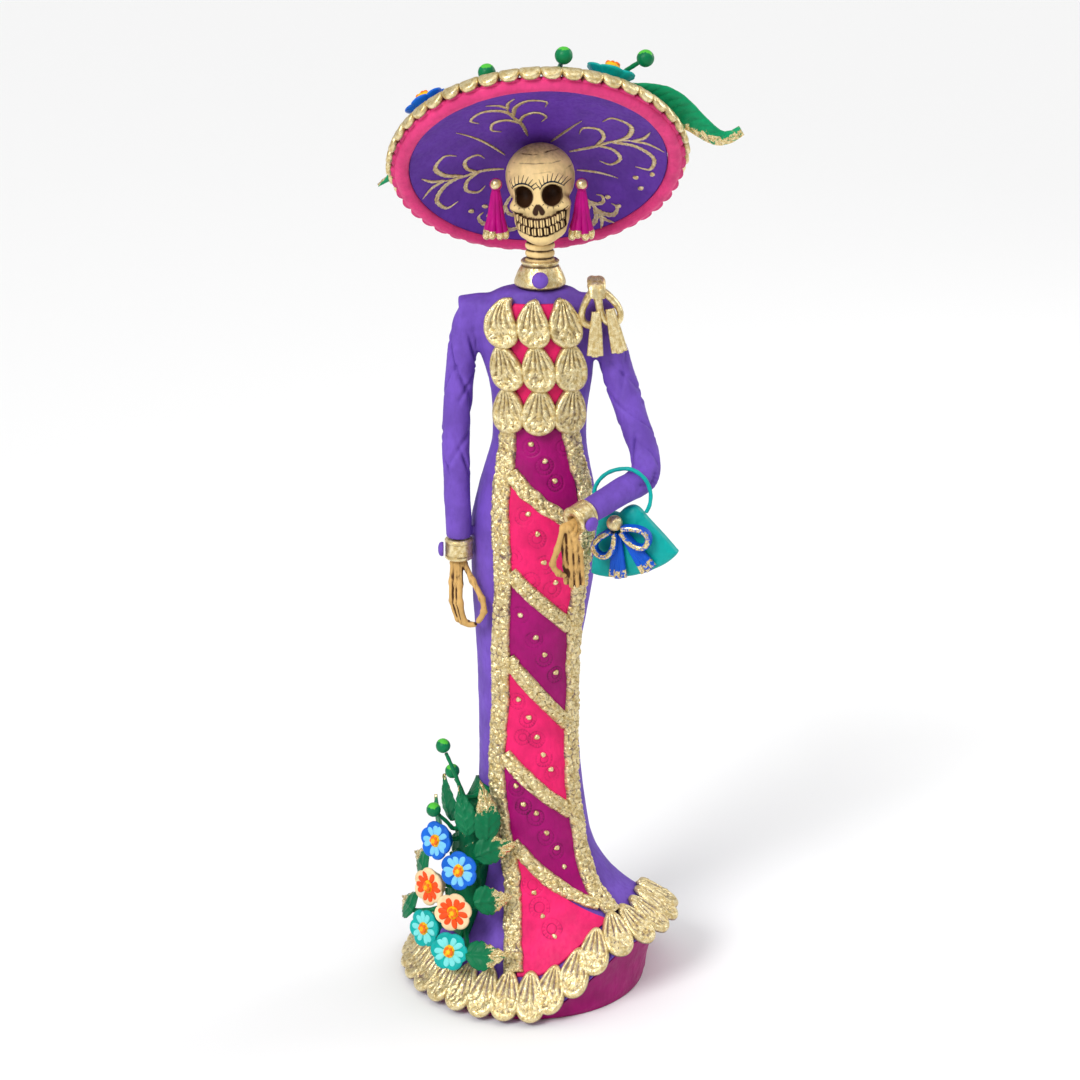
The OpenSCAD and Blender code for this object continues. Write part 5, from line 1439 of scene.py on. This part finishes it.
def ball(s, c, r, seed, tone=0.0):
    t = np.linspace(0.06, math.pi - 0.06, 20)[:, None]
    q = np.linspace(0, 2 * math.pi, 30, endpoint=False)[None]
    n = np.stack([np.sin(t) * np.cos(q), np.sin(t) * np.sin(q), np.cos(t) + 0 * q], -1)
    d = r * (1 + 0.035 * rough(n * 10 + seed, 6, seed))
    # painted highlight on the upper side, as strong as tone
    lit = ramp(n[..., 2] + 0.4 * rough(n * 6, 4, seed), 0.35, 0.95) * tone
    s.grid(np.asarray(c, float) + n * d[..., None], around=True, ends=True, tone=lit)


def stem(s, points, sizes):
    p = along(curve(points, 8), 0.6)
    r = np.interp(np.linspace(0, 1, len(p)), np.linspace(0, 1, len(sizes)), sizes)
    s.tube(p, r * (1 + 0.05 * np.sin(np.arange(len(p)) * 0.9)), 14)


# flowers as [face, facing]
BLUE_AT = [[[-41.4, -22, 69.4], [-0.75, -0.9, 0.3]], [[-31.2, -34.6, 61.4], [-0.35, -1, 0.25]]]
CREAM_AT = [[[-44.6, -25.6, 49.6], [-0.8, -0.9, 0.15]], [[-33.6, -38.4, 44], [-0.3, -1, 0.2]]]
TEAL_AT = [[[-46.4, -30.4, 32.6], [-0.8, -0.9, 0.25]], [[-35.2, -43.6, 28.6], [-0.3, -1, 0.3]]]
# head and foot of each bud stem
BUDS = [[-36.3, -16, 106.8, -29.4, -16.6, 87.4], [-32.6, -10.2, 92.6, -28.8, -11.8, 84],
        [-39.6, -17, 79, -34, -15, 71.8]]
# leaves as (root, tip, facing, width)
TALL_LEAVES = [([-19.6, -29.4, 72], [-21.8, -25.2, 98.5], [0.15, -1, 0.1], 10),
               ([-28, -26.4, 74], [-30.4, -21.8, 94.5], [-0.4, -1, 0.1], 10),
               ([-34.4, -9.6, 73], [-38, -4, 92], [-0.8, -0.5, 0.1], 11),
               ([-38.6, 2, 60], [-43, 10, 76], [-1, 0.1, 0.2], 11)]
LOW_LEAVES = [([-24, -31.4, 66], [-5.6, -28.4, 72], [-0.1, -1, 0.1], 9.5),
              ([-24.4, -37, 47], [-8.4, -34.5, 50.4], [-0.1, -1, 0.1], 10),
              ([-28, -45.4, 27.6], [-9.4, -47.4, 30.6], [0, -0.8, 0.6], 9.5),
              ([-46, 0, 44], [-52, 16, 47], [-1, -0.2, 0.3], 11),
              ([-52, -6, 28], [-57, 10, 29], [-0.9, -0.2, 0.5], 10)]


def build_bouquet():
    yellow = Shape()
    groups = (("flowers_blue", "bouquet_flowers_blue", BLUE_AT, BLUE, "blue"),
              ("flowers_cream", "bouquet_flowers_cream", CREAM_AT, CREAM, "cream"),
              ("flowers_turquoise", "bouquet_flowers_teal", TEAL_AT, TURQUOISE, "turquoise"))
    for g, (name, node, spots, look, slot) in enumerate(groups):
        s = Shape()
        for i, (p, d) in enumerate(spots):
            axes = frame_to(d, [0, 0, 1])
            flower(s, np.array(p) - 8 * unit(d), axes, 8.3, 8.0, 3 * g + i + 1, 0.3 + i + g)
            centre(yellow, np.array(p) - 0.75 * unit(d), axes, 2.5, 0.0, g + i)
        piece(name, s, look, [node])
    piece("flower_hearts", yellow, YELLOW, ["bouquet_flower_centres"])
    s = Shape()
    for i, (root, tip, face, w) in enumerate(TALL_LEAVES):
        leaf(s, root, tip, face, w * 1.15, 2.2, -1.5, 0.1, 0.7 if i else 0.3, seed=i)
    piece("leaves_tall", s, GREEN, ["bouquet_leaves_tall"])
    s = Shape()
    for i, (root, tip, face, w) in enumerate(LOW_LEAVES):
        leaf(s, root, tip, face, w * 1.35, 2.0, -1, 0.14, 0.3, seed=10 + i)
    piece("leaves_low", s, GREEN, ["bouquet_leaves_low"])
    s, b = Shape(), Shape()
    for i, k in enumerate(BUDS):
        head, foot = np.array(k[:3]), np.array(k[3:])
        stem(s, [foot, mix(foot, head, 0.5) + [0.4, 0, 0], head], [0.95, 0.85, 0.8])
        ball(b, head + unit(head - foot) * 3.6, 3.1, i, 1.0)
    stalks(s)
    piece("bud_stems", s, BUD_GREEN, ["bouquet_stems"])
    piece("buds", b, BUD_GREEN, ["bouquet_buds"])
    build_bed()


def stalks(s):
    """Wires that carry every flower, leaf and bud stem out of the bed."""
    a, z = np.meshgrid(np.linspace(-176, -141, 24), np.linspace(28, 86, 40))
    bed = lift(a, z, 3 + 0 * a).reshape(-1, 3)
    ends = [np.array(p) - 7.6 * unit(d) for p, d in BLUE_AT + CREAM_AT + TEAL_AT]
    ends += [mix(np.array(k[0], float), np.array(k[1], float), 0.08) for k in TALL_LEAVES + LOW_LEAVES]
    ends += [np.array(k[3:], float) for k in BUDS]
    for end in ends:
        foot = bed[np.linalg.norm(bed - end, axis=1).argmin()]
        stem(s, [foot, mix(foot, end, 0.5) + [0, 0, -0.8], end], [1.2, 1.05, 0.9])


def build_bed():
    """Green paste behind the flowers, modelled as layered leaves."""
    u = np.linspace(0, 1, 70)[None]
    w = np.linspace(0, 1, 120)[:, None]
    a = -178 + 39.2 * u + 0 * w
    z = 24 + 66 * w + 0 * u
    hs = np.interp(w, [0, 0.1, 0.2, 0.36, 0.54, 0.72, 0.88, 1], [1.2, 6, 9, 11, 11.5, 10, 6, 1.2])
    h = GAP + 0.8 + hs * np.sin(np.radians(20 + 140 * u))
    p = lift(a, z, h)
    cell = (w * 7 + 0.5 * np.floor(u * 4) + 0.6 * np.abs((u * 4) % 1 - 0.5)) % 1.0
    rib = bump((u * 4) % 1, 0.5, 0.12)
    relief = 1.1 * (cell - 0.5) + 0.35 * rib + 0.3 * rough(p, 4, 3)
    top = lift(a, z, np.maximum(h + relief * ramp(hs, 1, 6), 0.5))
    base = lift(a, z, 0 * h + GAP)
    s = Shape()
    s.grid(np.concatenate([top, base[:, ::-1]], 1), around=True, ends=True,
           tone=np.concatenate([0.45 * ramp(cell, 0.75, 1) + 0 * relief, 0 * relief], 1))
    piece("bouquet_back", s, GREEN, ["bouquet_bed"])


# degrees a hat flower leans for each millimetre off the middle of the hat
FLOWER_LEAN = 0.7
# name, CAD node, place on the hat, radius, eye radius, paint and slot
HAT_FLOWERS = [("blue_hat_flower", "hat_flower_blue", (-39.5, -26.4, 11.0), 8.6, 3.1, BLUE, "blue"),
               ("turquoise_hat_flower", "hat_flower_teal", (29, -36.4, 11.0), 9.6, 3.3, TURQUOISE,
                "turquoise")]
HAT_BUDS = [[[-10, -33, 11.4], [-16.7, -48, 12]], [[9, -33, 11.4], [13, -56.5, 11]],
            [[22, -18, 14.6], [44.2, -42, 18]]]
LONG_LEAF = [[37.5, -28, 15.2], [51, -20.5, 13.8], [62.5, -9.8, 9.8], [70.5, -3.6, 6.6], [76, -2.4, 6.8],
             [81, -3.8, 8.6]]


def hat_axes(x, y):
    """Local axes of a flower that leans outwards on the hat."""
    e = turned(turned(np.eye(3), "x", -FLOWER_LEAN * y), "y", FLOWER_LEAN * x)
    return on_hat(e) - HAT_C


def build_hat_flowers():
    yellow = Shape()
    for i, (name, node, c, r, eye, look, slot) in enumerate(HAT_FLOWERS):
        s = Shape()
        axes = hat_axes(c[0], c[1])
        flower(s, on_hat(np.array(c)), axes, r * 1.06, 6.2, 20 + i, i)
        centre(yellow, on_hat(np.array(c)), axes, eye, 6.6, 30 + i)
        piece(name, s, look, [node], "hat")
    piece("hat_flower_hearts", yellow, YELLOW, ["hat_flower_centres"], "hat")
    s = Shape()
    d = lambda v: on_hat(np.array(v, float)) - HAT_C
    ribbon(s, on_hat(np.array(LONG_LEAF)), [4, 9, 12, 12.5, 11.5, 9.5, 8, 6.5, 5], 3.4,
           d([-0.5, 0.86, -0.25]), 0.0, 40, gold_tip=0.5, veins=4.4)
    piece("large_hat_leaf", s, HAT_GREEN, ["hat_leaf_large"], "hat")
    s = Shape()
    leaf(s, on_hat([-40, 2, 13.4]), on_hat([-65, 18, 7.4]), d([-0.2, 0, 1]), 11, 2.6, 2, 0.05, 0.5, seed=41)
    piece("small_hat_leaf", s, HAT_GREEN, ["hat_leaf_small"], "hat")
    s = Shape()
    for i, (a, b) in enumerate(HAT_BUDS):
        a, b = np.array(a, float), np.array(b, float)
        stem(s, [on_hat(a), on_hat(mix(a, b, 0.5) + [0, 0, 2.6]), on_hat(b)], [1.05, 0.95, 0.85])
        ball(s, on_hat(b), 3.4, 50 + i, 1.0)
    roots = [c for _, _, c, *_ in HAT_FLOWERS] + [k[0] for k in HAT_BUDS]
    roots += [LONG_LEAF[0], [-40, 2, 13.4]]
    for x, y, z in roots:
        low = np.interp(math.hypot(x, y), [26, 33, 40, 46, 51], [12.2, 10.6, 8.6, 6.2, 3.2]) - 0.5
        stem(s, on_hat(np.array([[x, y, low], [x, y, (low + z) / 2], [x, y, z + 0.4]])), [1.5, 1.2, 1.1])
    piece("hat_bud_sprigs", s, BUD_GREEN, ["hat_buds"], "hat")


# ---------- earrings, bows and handbag ----------
def build_earrings():
    for name, node, x, y, seed in (("tassel_right", "earring_right", -14.4, -3.4, 1),
                                   ("tassel_left", "earring_left", 19.4, -3.2, 2)):
        s = Shape()
        t = np.linspace(0, 1, 40)
        for k in range(8):
            a = 2 * math.pi * (k + 0.5) / 8
            spread = np.interp(t, [0, 0.2, 0.6, 1], [0.6, 1.3, 2.4, 4.4])
            fall = 20.6 * t + (0.5 * math.sin(3 * k + seed) - 0.4) * t
            p = np.stack([x + spread * math.cos(a), y + 0.6 * spread * math.sin(a), 343.4 - fall], -1)
            r = np.interp(t, [0, 0.2, 0.6, 0.9, 0.97, 1], [0.9, 1.15, 1.35, 1.7, 1.3, 0.6])
            tip = ramp(t + 0.03 * math.sin(5 * k), 0.8, 0.88) * 0.95
            s.tube(p, r * (1 + 0.04 * np.sin(t * 30 + k)), 14, tone=np.broadcast_to(tip[:, None], (40, 14)))
        ball(s, [x, y - 0.4, 344.8], 2.5, seed, 0.0)
        stud = Shape()
        ball(stud, [x, y - 1.0, 345.0], 2.2, seed + 5)
        obj = piece(name, s, TASSEL, [node])
        knob = unplaced(name + "_stud", stud, GOLD_SMOOTH)
        knob.parent = obj


def ribbon(s, path, width, thick, across, tone_edge=0.0, seed=0, gold_tip=2.0, veins=0.0):
    """Flat padded ribbon along a path. across is the direction of its width, gold_tip where its gilded end
    starts and veins the spacing of the creases that slant out of its middle."""
    p = along(curve(path, 8), 0.4)
    t = unit(np.gradient(p, axis=0))
    w = unit(np.broadcast_to(np.asarray(across, float), t.shape)
             - (t @ np.asarray(across, float))[:, None] * t)
    n = np.cross(t, w)
    q = np.linspace(0, 2 * math.pi, 44, endpoint=False)
    cx, cy = np.sign(np.cos(q)) * np.abs(np.cos(q)) ** 0.75, np.sin(q)
    k = np.linspace(0, 1, len(p))
    width = np.atleast_1d(np.asarray(width, float))
    wide = np.interp(k, np.linspace(0, 1, len(width)), width) / 2
    groove = (1 - 0.22 * bump(cx, 0, 0.3))[None] + 0 * k[:, None]
    gild = ramp(k, gold_tip, gold_tip + 0.12)[:, None] * (0.8 + 0 * groove)
    if veins:
        phase = (0.4 * np.arange(len(p))[:, None] / veins - np.abs(cx)[None] * 1.2) % 1.0
        groove = groove - 0.3 * bump(phase, 0.5, 0.14) + 0.3 * bump(cx, 0, 0.12)
        gild = ramp(k[:, None] + 0.3 * cx[None], gold_tip, gold_tip + 0.3)
        gild = gild * (0.75 + 0.5 * bump(phase, 0.2, 0.25))
    pts = p[:, None] + wide[:, None, None] * cx[None, :, None] * w[:, None]
    pts = pts + thick / 2 * (cy * groove)[..., None] * n[:, None]
    pts = pts + 0.12 * rough(pts, 2.2, seed)[..., None] * n[:, None]
    worn = 0.7 + 0.5 * rough(pts, 2, seed + 3)
    edge = tone_edge * ramp(np.abs(cx), 0.55, 0.95)[None] * worn
    s.grid(pts, around=True, ends=True, tone=np.clip(np.maximum(edge, gild * worn), 0, 1))


def loop_path(w, l, place):
    q = np.radians(np.arange(14, 347, 18))
    return place(np.stack([w / 2 * np.sin(q) * (1 - 0.45 * np.cos(q)), 0 * q, -l / 2 + l / 2 * np.cos(q)], 1))


def build_shoulder_bow():
    s = Shape()
    for x, z, lean, w, l, seed in ((24.0, 303.4, 6, 8.6, 15.0, 1), (27.0, 303.8, -25, 8.8, 15.6, 2)):
        place = lambda p: turned(p, "y", lean) + [x, -11.4, z]
        ribbon(s, loop_path(w - 2.2, l - 1.4, place), 5.4, 2.9, [0, 1, 0], seed=seed)
    piece("bow_loops", s, GOLD_SMOOTH, ["shoulder_bow_loops"])
    s = Shape()
    for x, z, lean, seed in ((25.2, 294.4, 1, 3), (31.0, 295.6, -13, 4)):
        for k in (-1, 0, 1):
            place = lambda p: turned(np.asarray(p, float), "y", lean) + [x, -14.2, z]
            drop = [[0.8 * k, 0.3, 1.5], [1.4 * k, 0, -7], [2.0 * k, -0.1, -16.8 + 0.5 * abs(k)]]
            ribbon(s, place(drop), [2.0, 2.5, 2.7], 2.2, [1, 0, 0], seed=seed + k)
    piece("bow_tails", s, GOLD_SMOOTH, ["shoulder_bow_tails"])
    s = Shape()
    ball(s, [25, -5.2, 304.6], 3.3, 6)
    ribbon(s, [[25, -2.2, 306.6], [25.2, -8.5, 307.6], [25.4, -13.2, 305.8], [25.4, -14.8, 301.4]],
           [6.4, 7.4, 6.6], 2.8, [1, 0.1, 0], seed=8)
    piece("bow_knot", s, GOLD_SMOOTH, ["shoulder_bow_knot"])


# [x, z] outline of the pouch's right half, and the bent handle, in the bag's own frame
HALF_POUCH = [[0, 12], [-3, 13.6], [-6.4, 14], [-9, 12.2], [-11.4, 7], [-14.6, 0.6], [-18.4, -7.4],
              [-18.6, -9.6], [-13, -12.4], [-5, -14], [0, -14.3]]
POUCH = HALF_POUCH + [[-x, z] for x, z in HALF_POUCH[-2::-1]]
HANDLE = [[-7, 0, 14.4], [-8.2, 0, 19.6], [-6, 0, 25], [-1, 0, 28.6], [5, 0, 29.6], [11, 0, 28.1],
          [14.9, 0, 23.4], [15.6, 0, 17.8], [13.8, 0, 12.8], [11.2, 0, 9.8]]


def build_handbag():
    s = Shape()
    ring = along(curve(POUCH, 8), 0.5)[:-1]
    depth = np.linspace(-1, 1, 25)
    rows = []
    for y in depth:
        k = 0.6 + 0.4 * (1 - abs(y) ** 3.2) ** 0.6
        rows.append(np.stack([ring[:, 0] * k, 0 * ring[:, 0] + 4.0 * y, ring[:, 1] * k + (1 - k) * -2], -1))
    for k in (0.45, 0.3, 0.15):
        for side in (-1, 1):
            flat = np.stack([ring[:, 0] * k, 0 * ring[:, 0] + side * (4.3 - 0.5 * k),
                             ring[:, 1] * k + (1 - k) * -2], -1)
            rows.insert(0 if side < 0 else len(rows), flat)
    p = np.stack(rows)
    seam = bump(p[..., 2], 8.2 - 0.12 * np.abs(p[..., 0]), 0.7) * (np.abs(p[..., 1]) > 3)
    d = 0.22 * rough(p, 6, 3) + 0.1 * rough(p, 1.8, 4) - 0.4 * seam
    p = p + d[..., None] * (np.sign(p[..., 1:2]) * [0, 1, 0])
    s.grid(on_bag(p), around=True, ends=True)
    piece("pouch", s, TURQUOISE, ["handbag_pouch"], "handbag")
    s = Shape()
    path = along(curve(HANDLE, 8), 0.5)
    s.tube(on_bag(path), 0.82 * (1 + 0.05 * np.sin(np.arange(len(path)) * 0.8)), 16)
    piece("handle", s, TURQUOISE, ["handbag_handle"], "handbag")
    s = Shape()
    depth_dir = on_bag([0, 1, 0]) - BAG_C
    for side in (-1, 1):
        place = lambda q: on_bag(turned(q, "y", -50 * side) + [1.6 * side, -7.7, 7])
        ribbon(s, loop_path(6.8, 12.0, place), 4.6, 2.9, depth_dir, 0.9, 60 + side)
    piece("bag_bow_loops", s, BOW_BLUE, ["handbag_bow_loops"], "handbag")
    s = Shape()
    flat_dir = on_bag([1, 0, 0]) - BAG_C
    for side in (-1, 1):
        for k in (-1, 0, 1):
            place = lambda q: on_bag(turned(np.asarray(q, float), "y", -18 * side) + [1.4 * side, -5.4, 4.6])
            drop = [[0.7 * k, -0.6, 1], [1.5 * k, -0.4, -8], [2.5 * k, -0.2, -18.2 + 0.6 * abs(k)]]
            ribbon(s, place(drop), [2.0, 2.5, 2.9], 2.3, flat_dir, 0.0, 70 + k, gold_tip=0.74)
    piece("bag_bow_tails", s, BOW_BLUE, ["handbag_bow_tails"], "handbag")
    s = Shape()
    ball(s, on_bag([0, -8.2, 10.3]), 3.2, 9)
    piece("bag_bead", s, GOLD_SMOOTH, ["handbag_bead"], "handbag")


# ---------- base and armature, seen only from beneath ----------
def finish_hidden_nodes():
    wood = paint("fibreboard", srgb(176, 140, 98), level=0.75)
    paper = paint("rolled_newsprint", srgb(196, 188, 168), level=0.85)
    look = Look("brushed_wire")
    look.raise_by((look.noise(0.4, 2, 0.5, (1, 1, 0.1)), 0.03))
    look.set(Base_Color=(0.52, 0.52, 0.54), Metallic=1.0,
             Roughness=look.shaped(look.noise(1.2), 0.3, 0.7, 0.25, 0.5))
    for node, m in (("base_board", wood), ("paper_core", paper), ("spine_wire", look.material),
                    ("arm_wire", look.material), ("hat_pin", look.material)):
        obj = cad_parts[node]
        obj.data.materials.clear()
        obj.data.materials.append(m)


# ---------- camera, floor and light ----------
def build_stage():
    scene = bpy.context.scene
    scene.view_settings.view_transform = "Standard"
    data = bpy.data.cameras.new("camera")
    cam = bpy.data.objects.new("camera", data)
    scene.collection.objects.link(cam)
    cam.location = (0.003, -1.035, 0.552)
    cam.rotation_euler = (math.radians(71), 0, 0)
    data.lens, data.sensor_width, data.clip_start = 88.33, 36, 0.01
    scene.camera = cam
    bpy.ops.mesh.primitive_plane_add(size=8, location=(0, 0, 0))
    floor = bpy.context.object
    floor.name = "floor"
    look = bpy.data.materials.new("pale_floor")
    look.use_nodes = True
    shader = look.node_tree.nodes["Principled BSDF"]
    shader.inputs["Base Color"].default_value = (0.9, 0.9, 0.9, 1)
    shader.inputs["Roughness"].default_value = 0.9
    floor.data.materials.append(look)
    world = bpy.data.worlds.new("studio")
    scene.world = world
    world.use_nodes = True
    back = world.node_tree.nodes["Background"]
    back.inputs["Color"].default_value = (1, 1, 1, 1)
    back.inputs["Strength"].default_value = 0.5
    suns = (("key_sun", (50, 0, -36), 1.5, 22), ("high_sun", (14, 0, 40), 0.75, 70))
    for name, angles, strength, spread in suns:
        light = bpy.data.lights.new(name, "SUN")
        light.energy, light.angle = strength, math.radians(spread)
        obj = bpy.data.objects.new(name, light)
        obj.rotation_euler = [math.radians(q) for q in angles]
        scene.collection.objects.link(obj)
    target = Vector((0, 0, 0.2))
    for name, at, size, energy in (("soft_box", (-0.8, -1.0, 0.9), 0.5, 3.2),
                                   ("edge_box", (0.9, 0.5, 0.7), 0.5, 3)):
        light = bpy.data.lights.new(name, "AREA")
        light.energy, light.size = energy, size
        obj = bpy.data.objects.new(name, light)
        obj.location = at
        obj.rotation_euler = (target - Vector(at)).to_track_quat("-Z", "Y").to_euler()
        scene.collection.objects.link(obj)


build_stage()
build_gown()
build_underskirt()
build_fields()
build_dots()
build_welts()
build_petals()
build_skull()
build_neck()
build_hands()
build_collar()
build_cuffs()
build_hat_dish()
build_scrolls()
build_rim()
build_hat_flowers()
build_bouquet()
build_earrings()
build_shoulder_bow()
build_handbag()
finish_hidden_nodes()
